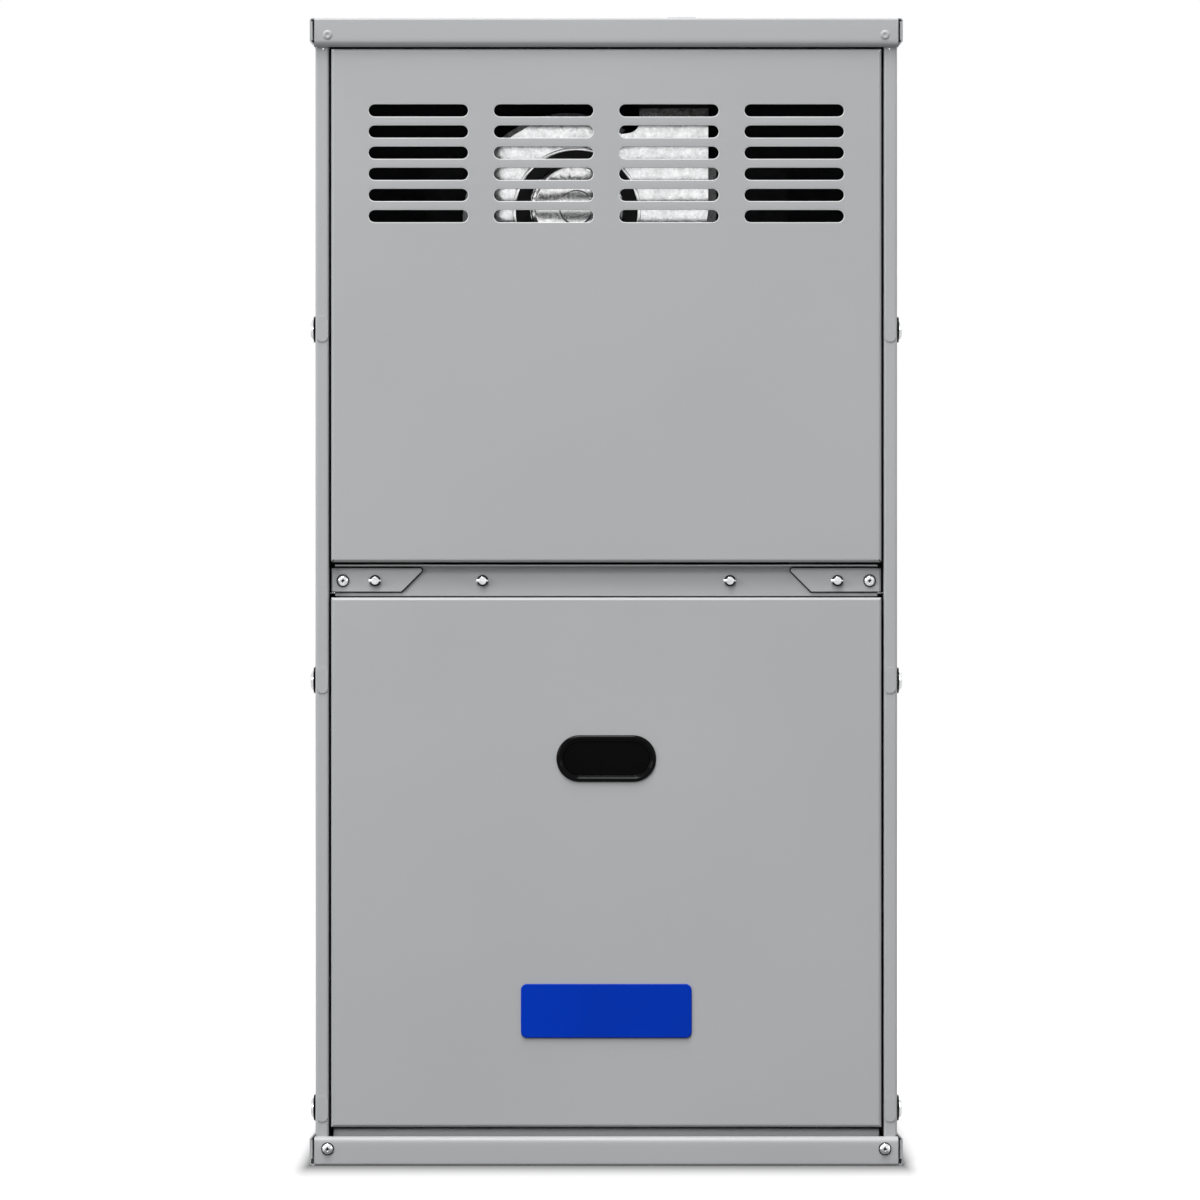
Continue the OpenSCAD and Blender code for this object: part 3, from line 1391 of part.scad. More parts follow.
module door_liner() {
    y = door_y + sheet;
    color([0.3, 0.3, 0.31]) difference() {
        box([-door_x + 22, y, lower_z + 22], [door_x - 22, y + liner_t, lower_z + lower_door_h - 40]);
        translate([0, 0, glass_z]) along_y(y - 1, y + liner_t + 1) stadium(glass_w + 8, glass_h + 8);
    }
}

// Round bar of radius r bent into a slot shape, w by h over its outside
module slot_bead(w, h, r) {
    bend = h / 2 - r;
    e = w / 2 - h / 2;
    for (s = [-1, 1]) {
        rod_x([-e, 0, s * bend], r, 2 * e);
        translate([s * e, 0, 0]) mirror([s < 0 ? 1 : 0, 0, 0]) rotate([90, 0, 0]) rotate([0, 0, -90])
            rotate_extrude(angle = 180) translate([bend, 0]) circle(r = r);
    }
}

module sight_bezel() {
    neck_w = glass_w - 2 * glass_rim + 1.6;
    neck_h = glass_h - 2 * glass_rim + 1.6;
    wall = 1.8;
    back = door_y + glass_depth + 3;
    color(black) difference() {
        union() {
            intersection() {
                translate([0, door_y, glass_z]) slot_bead(glass_w, glass_h, glass_rim / 2);
                box([-glass_w, door_y - glass_rim, glass_z - glass_h], [glass_w, door_y, glass_z + glass_h]);
            }
            translate([0, 0, glass_z]) along_y(door_y - 0.6, back) stadium(neck_w, neck_h);
        }
        translate([0, 0, glass_z]) {
            along_y(door_y - glass_rim, back - 4) stadium(neck_w - 2 * wall, neck_h - 2 * wall);
            along_y(door_y, back + 1) stadium(neck_w - 4 * wall, neck_h - 4 * wall);
        }
    }
}

module sight_lens() {
    wall = 1.8;
    back = door_y + glass_depth - 1;
    w = glass_w - 2 * glass_rim + 1.6 - 2 * wall - 0.4;
    h = glass_h - 2 * glass_rim + 1.6 - 2 * wall - 0.4;
    color([0.05, 0.05, 0.05]) translate([0, 0, glass_z]) along_y(back - 2, back) stadium(w, h);
}

module badge_plate() {
    color([0.01, 0.22, 0.73]) translate([0, 0, badge_z]) union() {
        along_y(door_y - badge_t * 0.7, door_y) round_rect(badge_w, badge_h, badge_r);
        along_y(door_y - badge_t, door_y - badge_t * 0.5) round_rect(badge_w - 1, badge_h - 1, badge_r - 0.5);
    }
}

// ---------- Assembly ----------

left_side_panel();
right_side_panel();
back_panel();
top_cap();
base_frame();
door_sill();
crossbar();
end_brackets();
bar_gaskets();
blower_deck();
vest_panel();
insulation_liner();
pan_screws();
crossbar_studs();
crossbar_washers();
cap_rivets();
side_plugs();
for (i = [0:tube_n - 1]) {
    heat_tube(i);
    burner(i);
}
tube_support();
collector_box();
burner_rack();
gas_manifold();
gas_orifices();
gas_valve();
valve_knob();
igniter();
flame_sensor();
thermal_switches();
reset_button();
pressure_switch();
pressure_hose();
inducer_housing();
inducer_plate();
inducer_motor();
inducer_wheel();
vent_adaptor();
blower_sides();
blower_wrap();
blower_wheel();
blower_motor();
motor_mount();
run_capacitor();
control_bracket();
control_board();
transformer();
door_switch();
switch_plunger();
upper_door();
lower_door();
door_liner();
sight_bezel();
sight_lens();
badge_plate();
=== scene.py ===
"""Looks of an upflow forced air gas furnace with two pull-off doors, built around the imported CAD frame.

Metres, +Z up, the front faces -Y. Every CAD node keeps its mesh and gets a procedural material and
softened edges. Small trim that CAD leaves out is made here and rides on the body that carries it.
"""
import json
import math

import bpy
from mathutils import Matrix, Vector
from mathutils.bvhtree import BVHTree


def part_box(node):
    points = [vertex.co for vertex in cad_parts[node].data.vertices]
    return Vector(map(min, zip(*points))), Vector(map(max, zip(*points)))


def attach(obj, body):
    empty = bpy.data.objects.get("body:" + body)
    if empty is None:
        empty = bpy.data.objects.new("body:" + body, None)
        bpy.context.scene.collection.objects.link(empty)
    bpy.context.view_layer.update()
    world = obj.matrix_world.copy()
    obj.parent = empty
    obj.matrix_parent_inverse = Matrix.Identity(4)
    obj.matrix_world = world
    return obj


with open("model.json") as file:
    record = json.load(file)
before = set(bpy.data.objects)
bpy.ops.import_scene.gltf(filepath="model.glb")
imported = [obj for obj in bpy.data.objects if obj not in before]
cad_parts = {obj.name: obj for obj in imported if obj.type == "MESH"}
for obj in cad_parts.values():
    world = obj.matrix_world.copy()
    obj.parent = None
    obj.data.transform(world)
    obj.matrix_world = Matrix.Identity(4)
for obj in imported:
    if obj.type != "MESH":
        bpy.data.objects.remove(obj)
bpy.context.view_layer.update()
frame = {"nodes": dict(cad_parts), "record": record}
NODES = frame["nodes"]
BODY_OF = {n: body for body, members in frame["record"]["behaviour"]["bodies"].items() for n in members}
SLOT_OF = {s["node"]: s["material_slot"] for s in frame["record"]["subparts"]}
MM = 0.001


# ---------- Small helpers ----------

def linear(rgb):
    """An sRGB colour, as read from a picture, in the linear values that shaders take."""
    return tuple(c / 12.92 if c <= 0.04045 else ((c + 0.055) / 1.055) ** 2.4 for c in rgb) + (1.0,)


def math_node(tree, operation, a, b=0.0):
    """Result of a math node. Each operand is a number or the socket of another node."""
    node = tree.nodes.new("ShaderNodeMath")
    node.operation = operation
    for socket, value in zip(node.inputs, (a, b)):
        if isinstance(value, (int, float)):
            socket.default_value = value
        else:
            tree.links.new(value, socket)
    return node.outputs[0]


class Material:
    """One Principled material and short calls for the nodes that it is made of."""

    def __init__(self, name, color, rough, metal=0.0, specular=0.5, sheen=0.0):
        self.mat = bpy.data.materials.new(name)
        self.mat.use_nodes = True
        self.tree = self.mat.node_tree
        self.bsdf = self.tree.nodes["Principled BSDF"]
        self.color = color
        self.place = self.add("ShaderNodeTexCoord").outputs["Object"]
        self.normal = None
        for socket, value in (("Base Color", linear(color)), ("Roughness", rough), ("Metallic", metal),
                              ("Specular IOR Level", specular), ("Sheen Weight", sheen)):
            self.bsdf.inputs[socket].default_value = value

    def add(self, kind, **settings):
        node = self.tree.nodes.new(kind)
        for key, value in settings.items():
            setattr(node, key, value)
        return node

    def link(self, source, target):
        self.tree.links.new(source, target)

    def stretch(self, scale, turn=(0, 0, 0)):
        """Object coordinates scaled by three numbers and turned, for streaks and tracks."""
        node = self.add("ShaderNodeMapping")
        self.link(self.place, node.inputs["Vector"])
        node.inputs["Scale"].default_value = scale
        node.inputs["Rotation"].default_value = turn
        return node.outputs["Vector"]

    def noise(self, scale, detail=3.0, rough=0.5, place=None):
        node = self.add("ShaderNodeTexNoise")
        self.link(place or self.place, node.inputs["Vector"])
        node.inputs["Scale"].default_value = scale
        node.inputs["Detail"].default_value = detail
        node.inputs["Roughness"].default_value = rough
        return node.outputs["Fac"]

    def cells(self, scale, feature="F1", place=None):
        """Voronoi node: its colour is one per cell, its distance runs from the cell's middle or edge."""
        node = self.add("ShaderNodeTexVoronoi", feature=feature)
        self.link(place or self.place, node.inputs["Vector"])
        node.inputs["Scale"].default_value = scale
        return node

    def wave(self, scale, direction, profile="SIN"):
        """Straight bands along one axis."""
        node = self.add("ShaderNodeTexWave", wave_profile=profile, bands_direction=direction)
        self.link(self.place, node.inputs["Vector"])
        node.inputs["Scale"].default_value = scale
        return node.outputs["Fac"]

    def span(self, fac, low, high, start=0.0, end=1.0):
        """fac from start to end, mapped to low to high."""
        node = self.add("ShaderNodeMapRange")
        self.link(fac, node.inputs["Value"])
        for socket, value in (("From Min", start), ("From Max", end), ("To Min", low), ("To Max", high)):
            node.inputs[socket].default_value = value
        return node.outputs["Result"]

    def math(self, operation, a, b):
        return math_node(self.tree, operation, a, b)

    def blend(self, a, b, share):
        """Share of a plus the rest of b."""
        return self.math("ADD", self.math("MULTIPLY", a, share), self.math("MULTIPLY", b, 1.0 - share))

    def tint(self, fac, dark, light, start=0.3, end=0.7):
        """Base colour from fac: two shares of the material's own colour."""
        node = self.add("ShaderNodeValToRGB")
        self.link(fac, node.inputs["Fac"])
        for stop, place, share in zip(node.color_ramp.elements, (start, end), (dark, light)):
            stop.position = place
            stop.color = linear(tuple(c * share for c in self.color))
        self.link(node.outputs["Color"], self.bsdf.inputs["Base Color"])

    def mix_color(self, fac, a, b):
        """Base colour from fac: two colours."""
        node = self.add("ShaderNodeMix", data_type="RGBA")
        self.link(fac, node.inputs["Factor"])
        for socket, value in ((node.inputs[6], a), (node.inputs[7], b)):
            socket.default_value = linear(value)
        self.link(node.outputs[2], self.bsdf.inputs["Base Color"])

    def gloss(self, fac, low, high, start=0.3, end=0.7):
        """Roughness from fac."""
        self.link(self.span(fac, low, high, start, end), self.bsdf.inputs["Roughness"])

    def bump(self, fac, depth_mm, strength=1.0):
        """Relief from fac, on top of the relief that is there already."""
        node = self.add("ShaderNodeBump")
        node.inputs["Strength"].default_value = strength
        node.inputs["Distance"].default_value = depth_mm * MM
        self.link(fac, node.inputs["Height"])
        if self.normal:
            self.link(self.normal, node.inputs["Normal"])
        self.normal = node.outputs["Normal"]
        self.link(self.normal, self.bsdf.inputs["Normal"])


# ---------- Materials ----------
# Scales of noise, cells and waves are for metres, relief is in mm, and the rest are shares.

PAINT_ROUGH = 0.34
PAINT_SPECULAR = 0.16


def coated_sheet(name, color):
    """Coil-coated sheet: satin paint with a fine texture and hardly any drift of tone."""
    m = Material(name, color, PAINT_ROUGH, specular=PAINT_SPECULAR)
    fine = m.noise(1500, 2)
    m.tint(m.blend(fine, m.noise(5, 2), 0.35), 0.985, 1.012)
    m.gloss(m.noise(60, 3), PAINT_ROUGH - 0.05, PAINT_ROUGH + 0.06)
    m.bump(m.noise(420, 3, 0.6), 0.02, 0.6)
    m.bump(fine, 0.012, 0.5)
    return m.mat


def painted_light_rim(name, color, height):
    """Paint of cut edges with painted light: a painted highlight, paler than the paint, above a height in
    metres, and painted shade, nearly black, below it.
    """
    shade = (0.03, 0.03, 0.03)
    fade = 0.05
    m = Material(name, color, PAINT_ROUGH, specular=PAINT_SPECULAR)
    split = m.add("ShaderNodeSeparateXYZ")
    m.link(m.place, split.inputs[0])
    m.mix_color(m.span(split.outputs["Z"], 0.0, 1.0, height - fade, height), shade, color)
    m.gloss(m.noise(60, 3), 0.3, 0.4)
    m.bump(m.noise(420, 3, 0.6), 0.02, 0.6)
    return m.mat


def spangled(name, color, rough, size, dark):
    """Hot-dip galvanised sheet: crystals a few millimetres wide, each with its own tone and gloss."""
    m = Material(name, color, rough, metal=1.0)
    warp = m.add("ShaderNodeMix", data_type="VECTOR")
    warp.inputs["Factor"].default_value = 0.012
    m.link(m.place, warp.inputs[4])
    swirl = m.add("ShaderNodeTexNoise")
    m.link(m.place, swirl.inputs["Vector"])
    swirl.inputs["Scale"].default_value = size * 0.7
    m.link(swirl.outputs["Color"], warp.inputs[5])
    crystal = m.cells(size, place=warp.outputs[1])
    split = m.add("ShaderNodeSeparateColor")
    m.link(crystal.outputs["Color"], split.inputs["Color"])
    m.tint(m.blend(split.outputs[0], m.noise(900, 3), 0.75), dark, 1.04, 0.05, 0.95)
    m.gloss(split.outputs[1], rough - 0.03, rough + 0.05, 0.0, 1.0)
    m.bump(m.cells(size, "DISTANCE_TO_EDGE", warp.outputs[1]).outputs["Distance"], 0.012, 0.2)
    m.bump(m.noise(700, 4, 0.6), 0.006, 0.4)
    return m.mat


def plated(name, color, rough, grain=0.012):
    """Zinc plating: bright, with faint clouds and a fine grain."""
    m = Material(name, color, rough, metal=1.0)
    m.tint(m.noise(180, 4, 0.6), 0.86, 1.06, 0.25, 0.75)
    m.gloss(m.noise(600, 3), rough * 0.6, rough * 1.8)
    m.bump(m.noise(900, 3, 0.6), grain, 0.5)
    return m.mat


def aluminised(name, color, rough):
    """Aluminised steel: a soft matt sheen with a mill grain and light handling marks."""
    m = Material(name, color, rough, metal=1.0)
    grain = m.noise(40, 5, 0.65, m.stretch((1, 9, 1)))
    m.tint(m.blend(grain, m.noise(700, 3), 0.6), 0.8, 1.05)
    m.gloss(m.noise(220, 4), rough - 0.1, rough + 0.14)
    m.bump(m.noise(800, 4, 0.65), 0.015, 0.5)
    return m.mat


def dark_sheet(name, color, rough=0.6):
    """Dark matt coating with a mill grain under it and a little dust."""
    m = Material(name, color, rough, specular=0.3)
    m.tint(m.noise(30, 5, 0.6), 0.8, 1.25)
    m.gloss(m.noise(240, 4), rough - 0.1, rough + 0.1)
    m.bump(m.noise(900, 3, 0.6), 0.02, 0.6)
    return m.mat


def moulded(name, color, rough=0.4, specular=0.5, grain=0.02):
    """Moulded plastic with a spark-eroded texture."""
    m = Material(name, color, rough, specular=specular)
    m.tint(m.noise(25, 3), 0.94, 1.05)
    m.gloss(m.noise(300, 3), rough - 0.06, rough + 0.08)
    m.bump(m.noise(1300, 2, 0.5), grain, 0.8)
    return m.mat


def cast(name, color, rough=0.48):
    """Die casting, tumbled: a pebbled skin with worn bright spots."""
    m = Material(name, color, rough, metal=1.0)
    m.tint(m.noise(90, 5, 0.65), 0.78, 1.06)
    m.gloss(m.noise(260, 4), rough - 0.1, rough + 0.12)
    m.bump(m.noise(480, 4, 0.6), 0.06, 0.7)
    return m.mat


def turned(name, color, rough=0.28):
    """Machined rod with fine tool marks."""
    m = Material(name, color, rough, metal=1.0)
    m.tint(m.noise(500, 3), 0.88, 1.05)
    m.gloss(m.noise(400, 3), rough - 0.06, rough + 0.1)
    m.bump(m.wave(900, "Y"), 0.01, 0.5)
    return m.mat


def enamel(name, color):
    """Smooth baked enamel with hardly any shine of its own."""
    m = Material(name, color, 0.34, specular=0.06)
    m.tint(m.noise(12, 2), 0.97, 1.03)
    m.gloss(m.noise(500, 2), 0.3, 0.38)
    m.bump(m.noise(260, 2), 0.01, 0.4)
    return m.mat


def smoked_glass(name, color):
    """Nearly black glass with a faint ripple."""
    m = Material(name, color, 0.09, specular=0.05)
    m.tint(m.noise(20, 2), 0.9, 1.1)
    m.gloss(m.noise(150, 3), 0.06, 0.12)
    m.bump(m.noise(60, 2), 0.015, 0.3)
    return m.mat


def soft_rubber(name, color):
    """Dull rubber with a bloom."""
    m = Material(name, color, 0.68, specular=0.3, sheen=0.05)
    m.tint(m.noise(200, 3), 0.8, 1.3)
    m.gloss(m.noise(500, 3), 0.6, 0.78)
    m.bump(m.noise(1400, 2), 0.02, 0.7)
    return m.mat


def foil_facing(name, color):
    """Foil on wool: creases, and a scrim of threads in squares."""
    m = Material(name, color, 0.4, metal=0.7)
    crease = m.noise(28, 4, 0.6)
    m.tint(crease, 0.84, 1.05)
    m.gloss(m.noise(90, 4), 0.32, 0.5)
    scrim = m.math("MAXIMUM", m.wave(26, "Y", "SAW"), m.wave(26, "Z", "SAW"))
    m.bump(m.span(scrim, 0, 1, 0.9, 1.0), 0.25, 0.7)
    m.bump(crease, 0.9, 0.5)
    m.bump(m.noise(120, 4), 0.15, 0.4)
    return m.mat


def foam(name, color):
    """Open foam: pores in relief and in tone."""
    m = Material(name, color, 0.9, specular=0.15, sheen=0.2)
    pores = m.cells(620).outputs["Distance"]
    m.tint(pores, 0.6, 1.25, 0.05, 0.6)
    m.bump(pores, 0.4, 0.8)
    m.bump(m.noise(70, 3), 0.3, 0.4)
    return m.mat


def board_mask(name, color):
    """Solder mask over copper tracks: they run in two directions and read as slightly lighter lines."""
    m = Material(name, color, 0.3, specular=0.5)
    tracks = []
    for turn, across, along in ((0.0, 170, 90), (math.pi / 2, 90, 170)):
        brick = m.add("ShaderNodeTexBrick", offset=0.37, offset_frequency=3, squash=1.6, squash_frequency=2)
        m.link(m.stretch((across, along, 1), (math.pi / 2, 0, turn)), brick.inputs["Vector"])
        brick.inputs["Scale"].default_value = 1.0
        brick.inputs["Mortar Size"].default_value = 0.08
        tracks.append(brick.outputs["Fac"])
    lines = m.math("MAXIMUM", tracks[0], tracks[1])
    m.mix_color(lines, color, tuple(min(1.0, c * 1.7 + 0.02) for c in color))
    m.gloss(m.noise(300, 2), 0.24, 0.38)
    m.bump(lines, 0.05, 0.6)
    return m.mat


def ceramic_body(name, color):
    """Unglazed ceramic."""
    m = Material(name, color, 0.62, specular=0.4)
    m.tint(m.noise(400, 4), 0.93, 1.03)
    m.gloss(m.noise(300, 3), 0.5, 0.72)
    m.bump(m.noise(900, 3), 0.04, 0.7)
    return m.mat


def laminated(name, color):
    """Stack of transformer sheets, seen as fine lines across Y."""
    m = Material(name, color, 0.5, metal=0.6)
    sheets = m.wave(640, "Y")
    m.tint(m.blend(sheets, m.noise(120, 4), 0.4), 0.6, 1.3)
    m.bump(sheets, 0.08, 0.9)
    return m.mat


def made(rows):
    """Materials by name, from rows of a name, what makes it, its colour and its other values."""
    return {name: make(name, *values) for name, make, *values in rows}


PAINTED_HIGHLIGHT_FROM = 0.6              # height in metres above which a door's cut edges get a painted highlight, with painted shade below it
MATS = made((               # one for each material slot of the record
    ("casing_paint", coated_sheet, (0.7, 0.707, 0.712)),
    ("zinc_steel", plated, (0.93, 0.935, 0.94), 0.15),
    ("galvanised", spangled, (0.95, 0.955, 0.96), 0.2, 420, 0.95),
    ("tube_steel", aluminised, (0.66, 0.66, 0.65), 0.34),
    ("dark_steel", dark_sheet, (0.11, 0.11, 0.115)),
    ("black_plastic", moulded, (0.02, 0.02, 0.022), 0.1, 0.08, 0.002),
    ("smoked_lens", smoked_glass, (0.015, 0.015, 0.015)),
    ("blue_enamel", enamel, (0.01, 0.21, 0.71)),
    ("cast_alloy", cast, (0.68, 0.69, 0.7)),
    ("motor_paint", moulded, (0.06, 0.06, 0.063), 0.45, 0.4, 0.03),
    ("brass", turned, (0.8, 0.66, 0.36)),
    ("ceramic", ceramic_body, (0.88, 0.87, 0.83)),
    ("white_plastic", moulded, (0.82, 0.82, 0.8)),
    ("red_plastic", moulded, (0.65, 0.1, 0.08), 0.3),
    ("board_green", board_mask, (0.06, 0.3, 0.15)),
    ("rubber", soft_rubber, (0.05, 0.05, 0.05)),
    ("foil_wool", foil_facing, (0.74, 0.74, 0.72)),
    ("liner_foam", foam, (0.14, 0.14, 0.145)),
))
EXTRA = made((              # for single faces of a node, beside its slot's material
    ("bright_sheet", plated, (0.97, 0.972, 0.975), 0.07, 0.003),
    ("motor_cap", plated, (0.985, 0.985, 0.985), 0.1, 0.004),
    # cut-edge paint: a painted highlight above the height, painted shade below it
    ("slot_rim", painted_light_rim, (0.86, 0.865, 0.87), PAINTED_HIGHLIGHT_FROM),
    ("core_steel", laminated, (0.3, 0.3, 0.31)),
    ("winding_tape", moulded, (0.82, 0.68, 0.26), 0.5, 0.4, 0.05),
    ("relay_case", moulded, (0.09, 0.09, 0.1), 0.36),
    ("can_sleeve", moulded, (0.06, 0.07, 0.16), 0.34),
    ("fuse_violet", moulded, (0.42, 0.2, 0.5), 0.25),
    ("amber_lamp", moulded, (0.85, 0.5, 0.1), 0.15),
    ("phenolic", moulded, (0.13, 0.07, 0.05), 0.4),
    ("pipe_black", dark_sheet, (0.1, 0.1, 0.1), 0.5),
    ("dull_steel", aluminised, (0.58, 0.58, 0.58), 0.24),
))
BY_NAME = {**MATS, **EXTRA}


# ---------- CAD nodes: materials and softened edges ----------

SAME_PLACE = 1e-6           # metres within which vertices are welded before their edges are rounded
SOLID_GRID = 1e5            # steps in a metre; vertices in the same step belong to the same solid


def soften(obj, width_mm, segments=2, angle=35):
    """Rounds edges sharper than angle by a small width. The piece's own vertices stay as they are."""
    weld = obj.modifiers.new("weld", "WELD")
    weld.merge_threshold = SAME_PLACE
    bevel = obj.modifiers.new("edges", "BEVEL")
    bevel.width = width_mm * MM
    bevel.segments = segments
    bevel.limit_method = "ANGLE"
    bevel.angle_limit = math.radians(angle)
    bevel.miter_outer = "MITER_ARC"
    bevel.use_clamp_overlap = True
    bevel.loop_slide = False
    normals = obj.modifiers.new("normals", "WEIGHTED_NORMAL")
    normals.keep_sharp = False
    normals.weight = 90


def solids_of(me):
    """For each face, the low and high corner in mm of the separate solid that it belongs to."""
    keys = [tuple(round(c * SOLID_GRID) for c in v.co) for v in me.vertices]
    parent = {k: k for k in keys}

    def root(k):
        while parent[k] != k:
            parent[k] = parent[parent[k]]
            k = parent[k]
        return k

    for face in me.polygons:
        first = root(keys[face.vertices[0]])
        for i in face.vertices[1:]:
            parent[root(keys[i])] = first
    points = {}
    for key, v in zip(keys, me.vertices):
        points.setdefault(root(key), []).append(v.co / MM)
    boxes = {k: tuple(Vector(f(p[i] for p in group) for i in range(3)) for f in (min, max))
             for k, group in points.items()}
    return [boxes[root(keys[face.vertices[0]])] for face in me.polygons]


def corners(name):
    """Low and high corner of a node in mm, as vectors."""
    low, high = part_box(name)
    return Vector(low) / MM, Vector(high) / MM


def dress(name, choose=None, extra=(), edge=0.25, by_solid=False, rim=-1):
    """Gives a CAD node its materials and softens its edges by edge, in mm.

    The first material is the slot's own, and extra names the others. choose gives each face the number
    of its material. It takes the face's middle in mm from the low corner of the node, or of the face's
    own solid, the size of that node or solid, and the face's normal. rim is the number of the
    material on the softened edges, or -1 for that of the faces beside them.
    """
    obj = NODES[name]
    me = obj.data
    me.materials.clear()
    for material in (SLOT_OF[name], *extra):
        me.materials.append(BY_NAME[material])
    if choose:
        boxes = solids_of(me) if by_solid else [corners(name)] * len(me.polygons)
        for face, (low, high) in zip(me.polygons, boxes):
            face.material_index = choose(face.center / MM - low, high - low, face.normal)
    me.shade_smooth()
    soften(obj, edge)
    obj.modifiers["edges"].material = rim


def off_axis(p, size, axis):
    """Distance of p from the middle line of its box along an axis."""
    return math.hypot(*(p[i] - size[i] / 2 for i in range(3) if i != axis))


# Each function below chooses among a node's materials for one face, by places in mm in the CAD source.

def second_face(p, size, normal):
    """The second material all over."""
    return 1


def screw_recess_painted_shade(p, size, normal):
    """Cross recess in a pan head, at the low Y end or the high one, given black rubber as painted shade,
    and bright everywhere else.
    """
    recess_r, recess_top, recess_foot, least_head = 1.5, 0.12, 1.35, 8
    depth = min(p.y, size.y - p.y)
    in_recess = off_axis(p, size, 1) < recess_r and recess_top < depth < recess_foot
    return 1 if in_recess and size.z > least_head else 0


def plug_face(p, size, normal):
    """Bright dome in a black snap-in base."""
    dome_r = 7.7
    return 0 if off_axis(p, size, 0) < dome_r else 1


def motor_face(p, size, normal):
    """Bright end cap and rounded shoulder in front, black can behind."""
    cap_depth, cap_r = 7.2, 37.8
    return 1 if p.y < cap_depth and off_axis(p, size, 1) < cap_r else 0


def adaptor_face(p, size, normal):
    """Plain steel collar round the inducer outlet, under the rest of the adaptor, which keeps its slot's
    black as painted shade.
    """
    collar_top = 8.3
    is_wall = abs(normal.z) < 0.5
    return 1 if p.z < collar_top and is_wall else 0


def door_feet_painted_shade(p, size, normal):
    """Painted shade: black faces on the feet that carry a door, for the shade in the gap below it."""
    foot_h, foot_inner, foot_front = 1.7, 120, 5
    return 1 if p.z < foot_h and abs(p.x - size.x / 2) > foot_inner and p.y > foot_front else 0


def board_face(p, size, normal):
    """Parts of the control board by their place: relays, terminals, sockets, capacitors, fuse and lamp."""
    board, black, zinc, white, can, fuse, lamp = range(7)
    board_t, skin = 1.6, 0.3
    relay_foot, pin_foot, pin_top, strip_top = 79, 19.5, 21.5, 15       # rows across the board, by Z
    row_foot, row_top = 33, 47
    lamp_x, lamp_half_w, lamp_h = 56, 3, 8
    fuse_left, can_left = 110, 50
    faces_front = normal.y < -0.7
    out = size.y - board_t - p.y
    if out < skin:
        return board
    if p.z > relay_foot or p.z < strip_top:
        return black
    if pin_foot < p.z < pin_top:
        return zinc
    if row_foot < p.z < row_top:
        return lamp if abs(p.x - lamp_x) < lamp_half_w and out < lamp_h else white
    if p.x > fuse_left:
        return fuse
    if p.x > can_left:
        return zinc if faces_front else can
    return white


def transformer_face(p, size, normal):
    """Steel frame at the back, taped windings in front, laminated core between."""
    frame_t, winding_depth = 7.2, 7.9
    if p.y > size.y - frame_t:
        return 1
    is_end = abs(normal.z) >= 0.99
    return 2 if p.y < winding_depth and not is_end else 3


def tip_material(inward):
    """From the outer end inward: a zinc tab, the ceramic holder, and the tip over the burner."""
    tab_w, holder_end = 8.9, 31
    if inward < tab_w:
        return 1
    return 2 if inward > holder_end else 0


def igniter_face(p, size, normal):
    """Tab, holder and dark tip, with the outer end at high X."""
    return tip_material(size.x - p.x)


def sensor_face(p, size, normal):
    """Tab, holder and bright rod, with the outer end at low X."""
    return tip_material(p.x)


def stat_face(p, size, normal):
    """Phenolic body of a disc thermostat on its zinc plate, with zinc spades."""
    body_front, body_back, body_r = 7.1, 19.5, 8.8
    return 1 if body_front < p.y < body_back and off_axis(p, size, 1) < body_r else 0


def pressure_face(p, size, normal):
    """Zinc plate behind a black drum."""
    plate_t = 1.3
    return 1 if p.y > size.y - plate_t else 0


def capacitor_face(p, size, normal):
    """Bare can, zinc strap, dark terminal plate and zinc spades."""
    can_top, near, can_shift, can_r = 62, 0.1, 2, 20.4
    strap_foot, strap_top, strap_back = 21.9, 36.1, 4.1
    if p.z > can_top + near:
        return 1
    if p.z > can_top - near and normal.z > 0.5:
        return 2
    on_strap = p.x < strap_back or off_axis(p - Vector((can_shift, 0, 0)), size, 2) > can_r
    return 1 if strap_foot < p.z < strap_top and on_strap else 0


SPECIAL = {
    # The cross recesses of the pan heads get black rubber as painted shade.
    "pan_screws": dict(choose=screw_recess_painted_shade, extra=("rubber",), by_solid=True, edge=0.12),
    "side_plugs": dict(choose=plug_face, extra=("black_plastic",), by_solid=True),
    "inducer_motor": dict(choose=motor_face, extra=("motor_cap",)),
    "inducer_housing": dict(choose=second_face, extra=("bright_sheet",)),
    # The vent adaptor above its collar is black as painted shade.
    "vent_adaptor": dict(choose=adaptor_face, extra=("dull_steel",)),
    # The upper door's softened edges get the cut-edge paint, with its painted highlight and painted shade.
    "upper_door": dict(choose=door_feet_painted_shade, extra=("rubber", "slot_rim"), edge=0.5, rim=2),
    # The feet of both doors get black rubber as painted shade.
    "lower_door": dict(choose=door_feet_painted_shade, extra=("rubber",), edge=0.4),
    "end_brackets": dict(edge=0.45),
    "control_board": dict(choose=board_face, extra=(
        "relay_case", "zinc_steel", "white_plastic", "can_sleeve", "fuse_violet", "amber_lamp")),
    "transformer": dict(choose=transformer_face, extra=("zinc_steel", "winding_tape", "core_steel")),
    "thermal_switches": dict(choose=stat_face, extra=("phenolic",), by_solid=True),
    "pressure_switch": dict(choose=pressure_face, extra=("zinc_steel",)),
    "run_capacitor": dict(choose=capacitor_face, extra=("zinc_steel", "relay_case")),
    "gas_manifold": dict(choose=second_face, extra=("pipe_black",)),
    "inducer_plate": dict(choose=second_face, extra=("dull_steel",)),
    "igniter": dict(choose=igniter_face, extra=("zinc_steel", "relay_case")),
    "flame_sensor": dict(choose=sensor_face, extra=("zinc_steel", "zinc_steel")),
}
for name in NODES:
    dress(name, **SPECIAL.get(name, {}))


# ---------- Small trim: hex sheet-metal screws ----------

